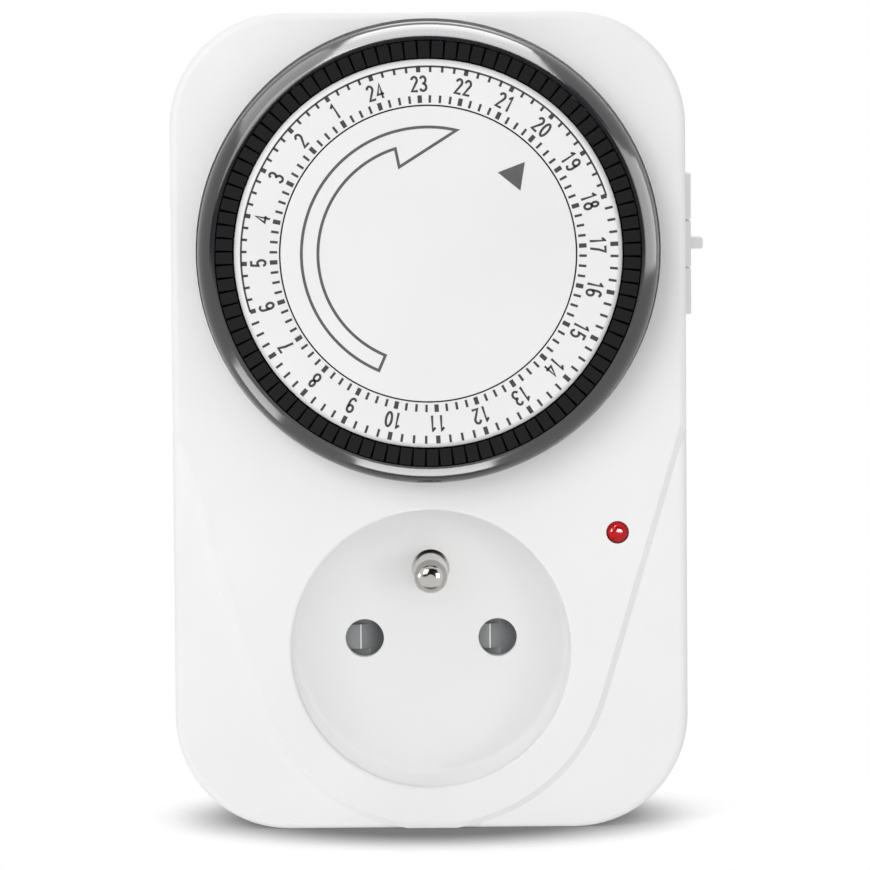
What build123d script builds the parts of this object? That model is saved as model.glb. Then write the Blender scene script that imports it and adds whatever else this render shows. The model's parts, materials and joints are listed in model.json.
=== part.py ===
from build123d import *
import os
from math import acos, cos, pi, radians, sin, sqrt, tan

os.makedirs("parts", exist_ok=True)

# Plug-in 24-hour timer switch, in millimetres.
# +X is right as seen from the front, +Y points to the back, the way the plug goes in, +Z is up.
# The origin is the middle of the plug's face. The front socket has the same axis as the plug.

# ---- Driving dimensions ----

# Housing
body_width = 72.2
body_height = 114.9
body_corner = 16.0
socket_rise = 25.5  # socket axis above the bottom of the housing
rear_depth = 12.0
front_depth = 25.0
wall = 2.2
face_wall = 2.0
front_edge = 1.2
rear_edge = 2.0
flank_drop = 0.9  # how far the two lower corner flanks lie behind the raised shield
shield_radius = 25.7
shield_flare = 16.5  # degrees from vertical

# Plug on the back
plug_depth = 16.5
plug_diameter = 37.0
plug_wall = 3.0
plug_face_wall = 2.5
guide_groove_width = 5.0
guide_groove_depth = 1.6
pin_diameter = 4.8
pin_pitch = 19.0
pin_length = 19.0
pin_head = 1.2
pin_head_rim = 1.2
pin_root_rim = 0.3  # the pins are thicker where they sit in plastic
pin_tip_flat = 0.4  # radius of the flat at the end of a pin's dome
earth_offset = 10.0  # earth contact above the line of the pins
earth_pin_length = 14.0
earth_sleeve_bore = 5.0
earth_sleeve_wall = 0.9
clip_width = 4.6
clip_thickness = 0.8
clip_tip = 2.2  # the clips end this far in front of the plug's face
stem_step = 0.8  # how much thinner the hidden stems and studs are than the pins
plug_edge = 0.8

# Socket on the front
recess_diameter = 39.2
recess_depth = 15.0
cup_wall = 1.4
cup_floor = 2.0
collar_depth = 4.5
pin_hole_diameter = 5.5
recess_rim = 0.5
recess_corner = 1.2
shutter_height = 8.7
shutter_thickness = 2.4
shutter_cover = 3.5  # from the left hole's middle to the plate's left end
shutter_ridges = (0.6, 1.1)  # from the middle of each hole to the top of its slope
wedge_height = 3.5
wedge_rise = 1.0
ridge_round = 0.3
pin_play = 0.4
lug_width = 1.5
lug_inset = 3.2  # from the plate's left end
retainer_wall = 1.6
spring_length = 12.2
spring_wire = 0.45
spring_diameter = 2.2
spring_turns = 6
contact_length = 10.0
contact_wall = 0.8
contact_floor = 0.8
contact_collar = 3.0
contact_slit = 0.8

# Dial
dial_rise = 56.0  # dial axis above the socket axis
dial_proud = 8.0
cap_radius = 20.5
number_ring_radius = 27.0
number_ring_thickness = 1.2
number_ring_bevel = 0.6
segments_per_hour = 4
hours = 24
hour_17_angle = 2.7  # degrees counter-clockwise from +X, where the dial stands at rest
segment_depth = 2.3  # across the ring
segment_head = 1.58
segment_stem = 0.9
segment_head_length = 2.2
segment_travel = 2.4
segment_sink = 0.3  # tops of the segments below the number ring
flange_thickness = 3.4
flange_rim = 0.55
guard_thickness = 1.9
guard_shoulder = 3.5  # widest circle of the guard ring behind its front edge
guard_lip = 0.5  # flat front edge of the guard ring
guard_round = (0.62, 1.05)  # a point of its round front, in from its widest circle and back from its edge
guard_taper = 0.3
post_radius = 3.5
hub_wall = 2.4
web_thickness = 1.6
drum_wall = 1.4
well_floor_wall = 2.0
well_wall = 1.6
cap_boss_depth = 2.0

# Gear train
pressure_angle = 25.0
tooth_addendum = 0.8  # of the module
tooth_dedendum = 1.05
tooth_play = 0.14
dial_module = 0.75
dial_teeth = 48
idler_pinion_teeth = 12
motor_module = 0.7
idler_teeth = 36
motor_teeth = 12
gear_width = 2.0
idler_width = 1.8
idler_angle = 250.0
motor_angle = 130.0
axle_radius = 1.0
axle_play = 0.08
plate_thickness = 1.6
plate_rim = 0.9  # plate past its posts
post_gap = 4.0  # middle of a plate post outside the dial's gear
post_angles = (48.0, 140.0, 300.0)
motor_gap = 0.8  # motor to side wall
motor_depth = 11.0
motor_edge = 1.0
motor_ear_thickness = 0.8
motor_ear_reach = 2.5
motor_ear_root = 6.0
motor_shaft_depth = 4.8

# Follower, switch and override
nose_angle = 42.1  # where the segments are felt, in line with the time pointer
nose_width = 2.0
nose_height = 3.0
lever_width = 3.5
lever_thickness = 2.4
lever_top = 2.0  # lever above the nose
bump_radius = 1.2
bump_gap = 0.15
pivot_below_nose = 29.0
push_above_pivot = 14.0
contact_root_below_pivot = 4.0
rivet_above_push = 4.0
blade_above_rivet = 3.0
blade_thickness = 0.4
blade_width = 4.0
rivet_radius = 1.5
rivet_height = 0.85
base_height = 9.0
base_foot_height = 6.0
base_wall = 2.0
override_centre = 56.4  # above the socket axis
override_reach = 2.8  # nub past the side wall
override_travel = 1.6
nub_thickness = 1.6
nub_width = 4.6
nub_edge = 0.4
leaf_sag = 1.3
leaf_thickness = 0.35
pad_width = 9.0
pad_proud = 1.0
pad_height = 6.4
pad_gap = 0.3

# Lamp
lamp_inset = 9.8  # from the side of the housing
lamp_gap = 11.34  # from the rim of the socket recess
lamp_diameter = 3.0
lamp_proud = 0.5
lamp_tip_flat = 0.35
lamp_collar = 0.4
lamp_collar_width = 1.0
lamp_post_radius = 1.2
board_thickness = 1.2

# Screws
boss_radius = 3.5
boss_inset = 9.5  # from the side wall
boss_from_bottom = 8.5
screw_radius = 1.25
screw_length = 18.0
screw_head_radius = 3.0
screw_head = 2.2
screw_head_edge = 0.9
screw_sink = 5.0
cross_length = 3.2
cross_width = 0.8
cross_depth = 0.7
post_screw_radius = 0.95
post_screw_depth = 3.7
post_screw_head_radius = 2.0
post_screw_head = 1.4

# Clearances
running = 0.1
slide = 0.2
clear = 0.3
air = 0.5

# ---- Levels from front to back ----

rear_face = -plug_depth
parting = rear_face - rear_depth
front_face = parting - front_depth
flank_face = front_face + flank_drop
front_inside = front_face + face_wall
rear_inside = rear_face - wall
recess_floor = front_face + recess_depth
cup_back = recess_floor + cup_floor
dial_front = front_face - dial_proud
ring_back = dial_front + number_ring_thickness
segment_front = dial_front + segment_sink
head_back = segment_front + segment_head_length
flange_front = head_back + segment_travel + clear
flange_back = flange_front + flange_thickness
stem_back = flange_back - clear
pushed_stem = stem_back + segment_travel
well_floor = pushed_stem + 4 * clear
well_back = well_floor + well_floor_wall
gear_front = well_back + 0.8
gear_back = gear_front + gear_width
idler_front = gear_back + air
idler_back = idler_front + idler_width
plate_front = idler_back + 0.7
plate_back = plate_front + plate_thickness
guard_front = dial_front + 0.5
guard_back = well_floor - 0.8

# ---- Radii and places seen from the front ----

body_bottom = -socket_rise
body_middle = body_bottom + body_height / 2
body_side = body_width / 2
side_inside = body_side - wall
pin_x = pin_pitch / 2
pin_radius = pin_diameter / 2
pin_root_radius = pin_radius + pin_root_rim
recess_radius = recess_diameter / 2
cup_radius = recess_radius + cup_wall
segment_inner = number_ring_radius + slide
segment_outer = segment_inner + segment_depth
segment_middle = (segment_inner + segment_outer) / 2
guard_inner = segment_outer + slide
flange_outer = guard_inner + flange_rim
guard_outer = flange_outer + guard_thickness
well_radius = guard_outer + 2 * slide
hub_bore = post_radius + running
hub_radius = hub_bore + hub_wall
spigot_radius = hub_radius - hub_wall / 2
dial_gear_radius = dial_module * dial_teeth / 2
idler_pinion_radius = dial_module * idler_pinion_teeth / 2
idler_radius = motor_module * idler_teeth / 2
motor_pinion_radius = motor_module * motor_teeth / 2
boss_places = [
    (side * (body_side - boss_inset), height)
    for side in (-1, 1)
    for height in (body_bottom + boss_from_bottom, body_bottom + body_height - boss_from_bottom)
]


def around(centre, angle, distance):
    """The point at a distance and an angle (degrees counter-clockwise from +X) from a centre."""
    x, z = centre
    return x + distance * cos(radians(angle)), z + distance * sin(radians(angle))


dial_centre = (0.0, dial_rise)
idler_centre = around(dial_centre, idler_angle, dial_gear_radius + idler_pinion_radius)
motor_centre = around(idler_centre, motor_angle, idler_radius + motor_pinion_radius)
motor_radius = side_inside - motor_gap + motor_centre[0]
nose_x, nose_z = around(dial_centre, nose_angle, segment_middle)
lamp_x = body_side - lamp_inset
lamp_z = sqrt((recess_radius + lamp_gap) ** 2 - lamp_x**2)

# ---- Small helpers ----


def prism(outline, front, back):
    """Extrude an outline, drawn as seen from the front (x right, z up), from y=front to y=back."""
    return extrude(Plane.XZ.offset(-back) * outline, back - front)


def rod(centre, radius, front, back):
    """A round rod that lies front to back."""
    return prism(Pos(*centre) * Circle(radius), front, back)


def tube(centre, outer, inner, front, back):
    """A round tube that lies front to back."""
    return prism(Pos(*centre) * (Circle(outer) - Circle(inner)), front, back)


def turned(centre, *points):
    """Turn a half section, given as (radius, y) points, about a front-to-back axis."""
    section = make_face(Polyline(*points, close=True))
    return Pos(centre[0], 0, centre[1]) * revolve(section, Axis.Y)


def block(x_range, y_range, z_range):
    """A rectangular block between two limits on each axis."""
    spans = [(high + low) / 2 for low, high in (x_range, y_range, z_range)]
    sizes = [high - low for low, high in (x_range, y_range, z_range)]
    return Pos(*spans) * Box(*sizes)


def body_outline(inset=0.0):
    """The housing's outline seen from the front."""
    width = body_width - 2 * inset
    height = body_height - 2 * inset
    return Pos(0, body_middle) * RectangleRounded(width, height, body_corner - inset)


def gear_outline(module, teeth, phase):
    """Involute gear, each flank as two chords, with one tooth centred on the phase angle."""
    pitch = module * teeth / 2
    base = pitch * cos(radians(pressure_angle))
    tip = pitch + tooth_addendum * module
    root = pitch - tooth_dedendum * module

    def half_tooth(radius):
        lean = acos(min(1.0, base / radius))
        rolled = tan(lean) - lean
        full = tan(radians(pressure_angle)) - radians(pressure_angle)
        return pi / (2 * teeth) - tooth_play / (2 * pitch) + full - rolled

    flank = [(root, half_tooth(max(root, base))), (pitch, half_tooth(pitch)), (tip, half_tooth(tip))]
    points = []
    for tooth in range(teeth):
        middle = radians(phase) + 2 * pi * tooth / teeth
        for radius, half in flank:
            points.append((radius * cos(middle - half), radius * sin(middle - half)))
        for radius, half in reversed(flank):
            points.append((radius * cos(middle + half), radius * sin(middle + half)))
    return make_face(Polyline(*points, close=True))


def on_dial(angle):
    """Place a piece that was drawn along +X from the dial's axis at an angle on the dial."""
    return Pos(0, 0, dial_rise) * Rot(0, -angle, 0)


# ---- Housing ----


def front_block(front):
    """The front shell's outer block, its front edge rounded."""
    solid = prism(body_outline(), front, parting)
    return fillet(solid.faces().sort_by(Axis.Y)[0].edges(), front_edge)


def shield():
    """The raised shield: an arc round the socket that runs out into two flared sides."""
    flare = radians(shield_flare)
    tangent_x = shield_radius * cos(flare)
    tangent_z = -shield_radius * sin(flare)
    reach = (body_width - tangent_x) / sin(flare)
    side_z = tangent_z + reach * cos(flare)
    top = body_bottom + body_height + body_corner
    outline = make_face(
        [
            ThreePointArc((-tangent_x, tangent_z), (0, -shield_radius), (tangent_x, tangent_z)),
            Polyline(
                (tangent_x, tangent_z),
                (body_width, side_z),
                (body_width, max(top, side_z + wall)),
                (-body_width, max(top, side_z + wall)),
                (-body_width, side_z),
                (-tangent_x, tangent_z),
            ),
        ]
    )
    return extrude(Plane.XZ.offset(-flank_face) * outline, flank_drop, taper=45)


plate_screw_places = [around(dial_centre, angle, dial_gear_radius + post_gap) for angle in post_angles]
motor_ear_places = [around(motor_centre, angle, motor_radius + motor_ear_reach) for angle in (60, 240)]
plate_post_radius = 2.6

lever_front = well_back + segment_travel + 0.4
lever_back = lever_front + lever_thickness
pivot_y = (lever_front + lever_back) / 2
pivot_z = nose_z - pivot_below_nose
ear_thickness = 1.7
ear_half = 2.2
ear_inner = lever_width / 2 + slide


def follower_ears():
    """Two ears behind the well floor that hold the follower lever's pin."""
    ears = []
    for side in (-1, 1):
        inner = nose_x + side * ear_inner
        outer = inner + side * ear_thickness
        span = (min(inner, outer), max(inner, outer))
        ear = block(span, (well_back, pivot_y), (pivot_z - ear_half, pivot_z + ear_half))
        ear += Pos(span[0], pivot_y, pivot_z) * Rot(0, 90, 0) * Cylinder(
            ear_half, ear_thickness, align=(Align.CENTER, Align.CENTER, Align.MIN)
        )
        ears.append(ear)
    return ears


def cross_pin(radius, low_x, high_x, y, z):
    """A round pin that lies left to right."""
    turned_rod = Cylinder(radius, high_x - low_x, align=(Align.CENTER, Align.CENTER, Align.MIN))
    return Pos(low_x, y, z) * Rot(0, 90, 0) * turned_rod


pin_left = nose_x - ear_inner - ear_thickness
pin_right = nose_x + ear_inner + ear_thickness

override_y = (parting + front_face) / 2
slider_plate = 1.1
slider_plate_half = 4.6
slider_plate_width = 7.6
stop_gap = slider_plate_half + override_travel + clear
stop_height = 1.5
stop_inner = side_inside - 3.7
lamp_hole_radius = lamp_diameter / 2 + running
board_front = front_inside + 3.5
board_width = 10.0
board_height = 7.0
lamp_post_pitch = 6.8


def override_pads():
    """Three raised pads on the right side: two plain legend pads and the slider's frame between them."""
    pads = []
    for row in (-1, 0, 1):
        middle = override_centre + row * (pad_height + pad_gap)
        pads.append(
            block(
                (side_inside, body_side + pad_proud),
                (override_y - pad_width / 2, override_y + pad_width / 2),
                (middle - pad_height / 2, middle + pad_height / 2),
            )
        )
    return pads


def override_stops():
    """Two inside stops, above and below the slider, that also hold the ends of its detent leaf."""
    stops = []
    for side in (-1, 1):
        near = override_centre + side * stop_gap
        far = near + side * stop_height
        stops.append(
            block(
                (stop_inner, side_inside),
                (override_y - slider_plate_width / 2, override_y + slider_plate_width / 2),
                (min(near, far), max(near, far)),
            )
        )
    return stops


def socket_opening():
    """The round opening over the socket, widened at the front by its rounded rim."""
    opening = rod((0, 0), recess_radius, front_face - dial_proud, front_inside)
    flare = rod((0, 0), recess_radius + recess_rim, front_face, front_face + recess_rim)
    ring = Pos(0, front_face + recess_rim, 0) * Rot(90, 0, 0) * Torus(recess_radius + recess_rim, recess_rim)
    return opening + (flare - ring)


def front_housing():
    """Front shell with the dial well, the socket opening, screw bosses and the switch's side opening."""
    shell = front_block(flank_face) + (front_block(front_face) & shield())
    shell -= prism(body_outline(wall), front_inside, parting)
    well_cup = rod(dial_centre, well_radius + well_wall, front_inside, well_back)
    shell += well_cup & prism(body_outline(wall / 2), front_inside, well_back)
    shell += [rod(place, boss_radius, front_inside, parting) for place in boss_places]
    collar_inner = cup_radius + clear
    shell += tube((0, 0), collar_inner + cup_wall, collar_inner, front_inside, front_inside + collar_depth)
    shell += [rod(place, plate_post_radius, well_back, plate_front) for place in plate_screw_places]
    shell += follower_ears()
    shell += override_pads()
    shell += override_stops()
    for side in (-1, 1):
        post = (lamp_x + side * lamp_post_pitch / 2, lamp_z)
        shell += rod(post, lamp_post_radius, front_inside, board_front)
    shell -= rod(dial_centre, well_radius, front_face - dial_proud, well_floor)
    shell -= rod(dial_centre, hub_radius + air, well_floor, well_back)
    shell -= block(
        (nose_x - nose_width / 2 - air, nose_x + nose_width / 2 + air),
        (well_floor, well_back),
        (nose_z - nose_height / 2 - 3 * clear, nose_z + nose_height / 2 + 3 * clear),
    )
    shell -= socket_opening()
    shell -= rod((lamp_x, lamp_z), lamp_hole_radius, front_face - dial_proud, front_inside)
    screw_tip = rear_face - screw_sink - screw_length
    shell -= [rod(place, screw_radius, screw_tip - clear, parting) for place in boss_places]
    pilot_tip = plate_front - post_screw_depth - clear
    shell -= [rod(place, post_screw_radius, pilot_tip, plate_front) for place in plate_screw_places]
    shell -= cross_pin(axle_radius, pin_left, pin_right, pivot_y, pivot_z)
    slot_half = nub_thickness / 2 + override_travel + running
    shell -= block(
        (side_inside, body_side + pad_proud),
        (override_y - nub_width / 2 - slide, override_y + nub_width / 2 + slide),
        (override_centre - slot_half, override_centre + slot_half),
    )
    return shell


plug_radius = plug_diameter / 2
plug_bore = plug_radius - plug_wall
carrier_back = -plug_face_wall
strap_back = rear_face + 2.1
strap_front = strap_back - clip_thickness
clip_outer = plug_radius - 0.1
clip_inner = clip_outer - clip_thickness
sleeve_radius = earth_sleeve_bore / 2
sleeve_outer = sleeve_radius + earth_sleeve_wall
counterbore_radius = screw_head_radius + slide
rear_boss_radius = counterbore_radius + 1.3


def rear_housing():
    """Rear shell with the round plug boss, its side grooves, clip notches and the screw bosses."""
    shell = prism(body_outline(), parting, rear_face)
    shell = fillet(shell.faces().sort_by(Axis.Y)[-1].edges(), rear_edge)
    shell -= prism(body_outline(wall), parting, rear_inside)
    shell += [rod(place, rear_boss_radius, parting, rear_inside) & prism(body_outline(), parting, rear_inside)
              for place in boss_places]
    boss = rod((0, 0), plug_radius, rear_inside, 0)
    boss = chamfer(boss.faces().sort_by(Axis.Y)[-1].edges(), plug_edge)
    shell += boss
    shell -= rod((0, 0), plug_bore, rear_inside, carrier_back)
    for side in (-1, 1):
        groove = (side * (plug_radius - guide_groove_depth), side * (plug_radius + clear))
        shell -= block(
            (min(groove), max(groove)),
            (rear_face, 0),
            (-guide_groove_width / 2, guide_groove_width / 2),
        )
        notch = (side * (clip_inner - running), side * (plug_radius + clear))
        notch_half = clip_width / 2 + slide
        shell -= block(
            (-notch_half, notch_half),
            (strap_front - slide, plug_edge - clip_tip),
            (min(notch), max(notch)),
        )
        passage = (side * (plug_bore - clear), side * (clip_inner + clear))
        shell -= block(
            (-notch_half, notch_half),
            (strap_front - slide, strap_back + slide),
            (min(passage), max(passage)),
        )
        shell -= rod((side * pin_x, 0), pin_root_radius, carrier_back, 0)
    shell -= rod((0, earth_offset), sleeve_radius + clear, carrier_back, 0)
    shell -= [rod(place, screw_radius + 0.4, parting, rear_face) for place in boss_places]
    shell -= [rod(place, counterbore_radius, rear_face - screw_sink, rear_face) for place in boss_places]
    return shell


def housing_screws():
    """Four pan-head screws that hold the shells together from the back."""
    screws = []
    seat = rear_face - screw_sink
    for place in boss_places:
        shank = rod(place, screw_radius, seat - screw_length, seat)
        head = rod(place, screw_head_radius, seat, seat + screw_head)
        head = fillet(head.faces().sort_by(Axis.Y)[-1].edges(), screw_head_edge)
        cross = Box(cross_length, 2 * cross_depth, cross_width)
        cross += Box(cross_width, 2 * cross_depth, cross_length)
        screws.append(shank + head - Pos(place[0], seat + screw_head, place[1]) * cross)
    return screws


# ---- Plug ----


def pin_carrier():
    """Moulded disc in the plug boss that carries the two pins and the earth sleeve."""
    disc = rod((0, 0), plug_bore - slide, strap_back, carrier_back)
    disc -= [rod((side * pin_x, 0), pin_root_radius, strap_back, carrier_back) for side in (-1, 1)]
    return disc - rod((0, earth_offset), sleeve_outer, strap_back, carrier_back)


def plug_pins():
    """Two round plug pins with domed tips; their heads rest on the carrier."""
    pins = []
    for side in (-1, 1):
        centre = (side * pin_x, 0)
        shank = rod(centre, pin_radius, strap_back, pin_length)
        shank = fillet(shank.faces().sort_by(Axis.Y)[-1].edges(), pin_radius - pin_tip_flat)
        shank += rod(centre, pin_root_radius, strap_back, 0)
        pins.append(shank + rod(centre, pin_root_radius + pin_head_rim, strap_back - pin_head, strap_back))
    return pins


def earth_sleeve():
    """Brass sleeve that takes the earth pin of the wall socket."""
    return tube((0, earth_offset), sleeve_outer, sleeve_radius, strap_back, carrier_back)


def earth_strap():
    """Bent strip: its middle lies across the carrier and its ends are the two earth clips."""
    half = clip_width / 2
    strap = block((-half, half), (strap_front, strap_back), (-clip_outer, clip_outer))
    for side in (-1, 1):
        leg = (side * clip_inner, side * clip_outer)
        strap += block((-half, half), (strap_front, -clip_tip), (min(leg), max(leg)))
    outside = strap.edges().filter_by(Axis.X).sort_by(Axis.Y)
    corners = [edge for edge in outside if abs(abs(edge.center().Z) - clip_outer) < 1e-6]
    return fillet(corners[:2], clip_thickness * 0.9)


# ---- Socket ----

shutter_gap = 0.2
shutter_front = cup_back + shutter_gap
shutter_back = shutter_front + shutter_thickness
shutter_middle = (shutter_front + shutter_back) / 2
pocket_back = shutter_back + shutter_gap
retainer_back = pocket_back + retainer_wall
pin_room = pin_radius + pin_play
shutter_travel = pin_room + pin_radius + clear
shutter_half = shutter_height / 2
shutter_left = -pin_x - shutter_cover
shutter_right = pin_x + pin_room
lug_left = shutter_left + lug_inset
lug_right = lug_left + lug_width
spring_radius = (spring_diameter - spring_wire) / 2
spring_z = -shutter_half - air - spring_diameter / 2
spring_tail_z = spring_z + spring_radius
spring_left = lug_right + air
spring_right = spring_left + spring_length
channel_right = spring_right + air
channel_bottom = spring_z - spring_diameter / 2 - clear
tail_bore = spring_wire / 2 + running
earth_flange_radius = pin_radius + 1.0
retainer_top = earth_offset - earth_flange_radius - clear
contact_radius = pin_radius + 0.05


def socket_cup():
    """The round recess, with the two pin holes and the earth pin's hole in its floor."""
    cup = rod((0, 0), cup_radius, front_inside, cup_back)
    hollow = rod((0, 0), recess_radius, front_inside, recess_floor)
    cup -= fillet(hollow.faces().sort_by(Axis.Y)[-1].edges(), recess_corner)
    cup -= [rod((side * pin_x, 0), pin_hole_diameter / 2, recess_floor, cup_back) for side in (-1, 1)]
    return cup - rod((0, earth_offset), pin_root_radius, recess_floor, cup_back)


def earth_pin():
    """Earth pin of the front socket, with a flange behind the floor and a stem to the earth strap."""
    centre = (0, earth_offset)
    pin = rod(centre, pin_radius, recess_floor - earth_pin_length, cup_back)
    pin = fillet(pin.faces().sort_by(Axis.Y)[0].edges(), pin_radius - pin_tip_flat)
    pin += rod(centre, pin_root_radius, recess_floor, cup_back)
    pin += rod(centre, earth_flange_radius, cup_back, cup_back + pin_head)
    return pin + rod(centre, pin_radius - stem_step, cup_back + pin_head, strap_front)


def shutter():
    """Sliding plate, stored as two rails and two covers; a pin that meets a slope pushes it to the left."""
    levels = (shutter_front, shutter_back)
    plate = block((shutter_left, shutter_right), levels, (-shutter_half, shutter_half))
    plate += block((lug_left, lug_right), levels, (spring_z, -shutter_half))
    for hole, ridge in zip((-pin_x, pin_x), shutter_ridges):
        foot = shutter_front + wedge_rise
        sunk = rod((hole, 0), pin_hole_diameter / 2 + clear, shutter_front, foot)
        wedge = block(
            (shutter_left, shutter_right),
            (shutter_front, foot),
            (-wedge_height / 2, wedge_height / 2),
        )
        plate -= sunk - wedge
        slope_end = hole + pin_room
        way = make_face(
            Polyline(
                (hole - ridge, shutter_front),
                (slope_end, shutter_back),
                (slope_end + shutter_travel, shutter_back),
                (slope_end + shutter_travel, shutter_front),
                close=True,
            )
        )
        plate -= extrude(Plane.XY.offset(-pin_room) * way, 2 * pin_room)
        tops = [edge for edge in plate.edges().filter_by(Axis.Z)
                if abs(edge.center().X - hole + ridge) + abs(edge.center().Y - shutter_front) < 1e-6]
        plate = fillet(tops, ridge_round)
    plate -= cross_pin(tail_bore, lug_left, lug_right, shutter_middle, spring_tail_z)
    rails_and_covers = []
    for rise in ((spring_z, -pin_room), (-pin_room, pin_room), (pin_room, shutter_half)):
        band = block((shutter_left, shutter_right), levels, rise)
        rails_and_covers += (plate & band).solids()
    return rails_and_covers


def shutter_retainer():
    """Shallow tray behind the socket floor in which the shutter slides, with a channel for its spring."""
    pocket_left = shutter_left - shutter_travel - clear
    pocket_right = shutter_right + slide
    tray = block(
        (pocket_left - retainer_wall, pocket_right + retainer_wall),
        (cup_back, retainer_back),
        (channel_bottom - retainer_wall, retainer_top),
    )
    tray -= block(
        (pocket_left, pocket_right),
        (cup_back, pocket_back),
        (-shutter_half - slide, shutter_half + slide),
    )
    tray -= block(
        (lug_left - shutter_travel - clear, channel_right),
        (cup_back, pocket_back),
        (channel_bottom, -shutter_half),
    )
    tray -= cross_pin(tail_bore, channel_right, channel_right + retainer_wall, shutter_middle, spring_tail_z)
    hole = pin_hole_diameter / 2 + clear
    return tray - [rod((side * pin_x, 0), hole, pocket_back, retainer_back) for side in (-1, 1)]


def shutter_spring():
    """Tension spring under the shutter, one end in the plate's lug and the other in the tray's wall."""
    height = spring_right - spring_left
    coil = Helix(height / spring_turns, height, spring_radius)
    path = Pos(spring_left, shutter_middle, spring_z) * Rot(0, 90, 0) * Rot(0, 0, 180) * coil
    wire = Plane(path @ 0, z_dir=path % 0) * Rectangle(spring_wire, spring_wire)
    spring = sweep(wire, path, is_frenet=True)
    tail_end = channel_right + retainer_wall - running
    for low_x, high_x in ((lug_left - air, spring_left), (spring_right, tail_end)):
        spring += cross_pin(spring_wire / 2, low_x, high_x, shutter_middle, spring_tail_z)
    return spring


def socket_contacts():
    """Two slit contact sleeves behind the shutter."""
    contacts = []
    contact_back = retainer_back + contact_length
    for side in (-1, 1):
        centre = (side * pin_x, 0)
        sleeve = tube(centre, contact_radius + contact_wall, contact_radius, retainer_back, contact_back)
        sleeve -= block(
            (side * pin_x - 2 * pin_radius, side * pin_x + 2 * pin_radius),
            (retainer_back, contact_back - contact_collar),
            (-contact_slit / 2, contact_slit / 2),
        )
        floor = rod(centre, contact_radius + contact_wall, contact_back, contact_back + contact_floor)
        contacts.append(sleeve + floor)
    return contacts


# ---- Dial ----

segment_count = hours * segments_per_hour
segment_pitch = 360 / segment_count


def segment_angle(hour, quarter):
    """Angle of a segment's middle on the dial at rest."""
    return hour_17_angle + (hour - 17) * 360 / hours + (quarter + 0.5) * segment_pitch


def programme_segment():
    """One programme segment on the +X side of the dial: a wide head on a narrow stem."""
    head = segment_head / 2
    stem = segment_stem / 2
    outline = Polyline(
        (segment_front, -head),
        (head_back, -head),
        (head_back, -stem),
        (stem_back, -stem),
        (stem_back, stem),
        (head_back, stem),
        (head_back, head),
        (segment_front, head),
        close=True,
    )
    return extrude(Plane.YZ.offset(segment_inner) * make_face(outline), segment_depth)


def dial_wheel():
    """Hub, web and drum, with the slotted flange that guides the segments' stems."""
    drum_inner = number_ring_radius - drum_wall
    web_back = flange_front + air
    wheel = turned(
        dial_centre,
        (hub_bore, web_back - web_thickness),
        (drum_inner, web_back - web_thickness),
        (drum_inner, ring_back),
        (number_ring_radius, ring_back),
        (number_ring_radius, flange_front),
        (flange_outer, flange_front),
        (flange_outer, flange_back),
        (drum_inner, flange_back),
        (drum_inner, web_back),
        (hub_radius, web_back),
        (hub_radius, gear_front),
        (spigot_radius, gear_front),
        (spigot_radius, gear_back),
        (hub_bore, gear_back),
    )
    slot = block(
        (segment_inner - running, segment_outer + running),
        (flange_front, flange_back),
        (-segment_stem / 2 - running, segment_stem / 2 + running),
    )
    slots = [
        on_dial(segment_angle(hour, quarter)) * slot
        for hour in range(hours)
        for quarter in range(segments_per_hour)
    ]
    return wheel - slots


def number_ring():
    """White ring with the hour numbers, bevelled at its outer edge."""
    return turned(
        dial_centre,
        (cap_radius + slide, dial_front),
        (number_ring_radius - number_ring_bevel, dial_front),
        (number_ring_radius, dial_front + number_ring_bevel),
        (number_ring_radius, ring_back),
        (cap_radius + slide, ring_back),
    )


def guard_ring():
    """Smoked ring that is gripped to turn the dial; it sits on the flange's rim."""
    widest = guard_front + guard_shoulder
    section = make_face(
        [
            Polyline(
                (guard_outer, widest),
                (guard_outer, flange_front),
                (guard_outer - guard_taper, guard_back),
                (flange_outer, guard_back),
                (flange_outer, flange_front),
                (guard_inner, flange_front),
                (guard_inner, guard_front),
                (guard_inner + guard_lip, guard_front),
            ),
            ThreePointArc(
                (guard_inner + guard_lip, guard_front),
                (guard_outer - guard_round[0], guard_front + guard_round[1]),
                (guard_outer, widest),
            ),
        ]
    )
    return Pos(0, 0, dial_rise) * revolve(section, Axis.Y)


def dial_gear():
    """Gear on the back end of the dial's hub."""
    outline = gear_outline(dial_module, dial_teeth, idler_angle) - Circle(spigot_radius)
    return prism(Pos(*dial_centre) * outline, gear_front, gear_back)


def centre_cap():
    """Fixed disc in the middle of the dial, held on the end of the post."""
    cap_boss = post_radius + hub_wall - clear
    return turned(
        dial_centre,
        (0, dial_front),
        (cap_radius, dial_front),
        (cap_radius, ring_back),
        (cap_boss, ring_back),
        (cap_boss, ring_back + cap_boss_depth),
        (post_radius, ring_back + cap_boss_depth),
        (post_radius, ring_back),
        (0, ring_back),
    )


# ---- Gear train ----


def gear_plate():
    """Mechanism plate with the post that the dial turns on and the seat of the idler's axle."""
    places = plate_screw_places + motor_ear_places
    corners = [Pos(*place) * Circle(plate_post_radius + plate_rim) for place in places]
    outline = make_hull([edge for corner in corners for edge in corner.edges()])
    plate = prism(outline, plate_front, plate_back)
    plate += rod(dial_centre, spigot_radius, gear_back + clear, plate_front)
    plate += rod(dial_centre, post_radius, ring_back, gear_back + clear)
    plate -= rod(idler_centre, axle_radius, plate_front, plate_back)
    plate -= rod(motor_centre, motor_pinion_radius + 2 * motor_module, plate_front, plate_back)
    return plate - [rod(place, post_screw_radius, plate_front, plate_back) for place in places]


ear_back = plate_back + motor_ear_thickness


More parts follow.
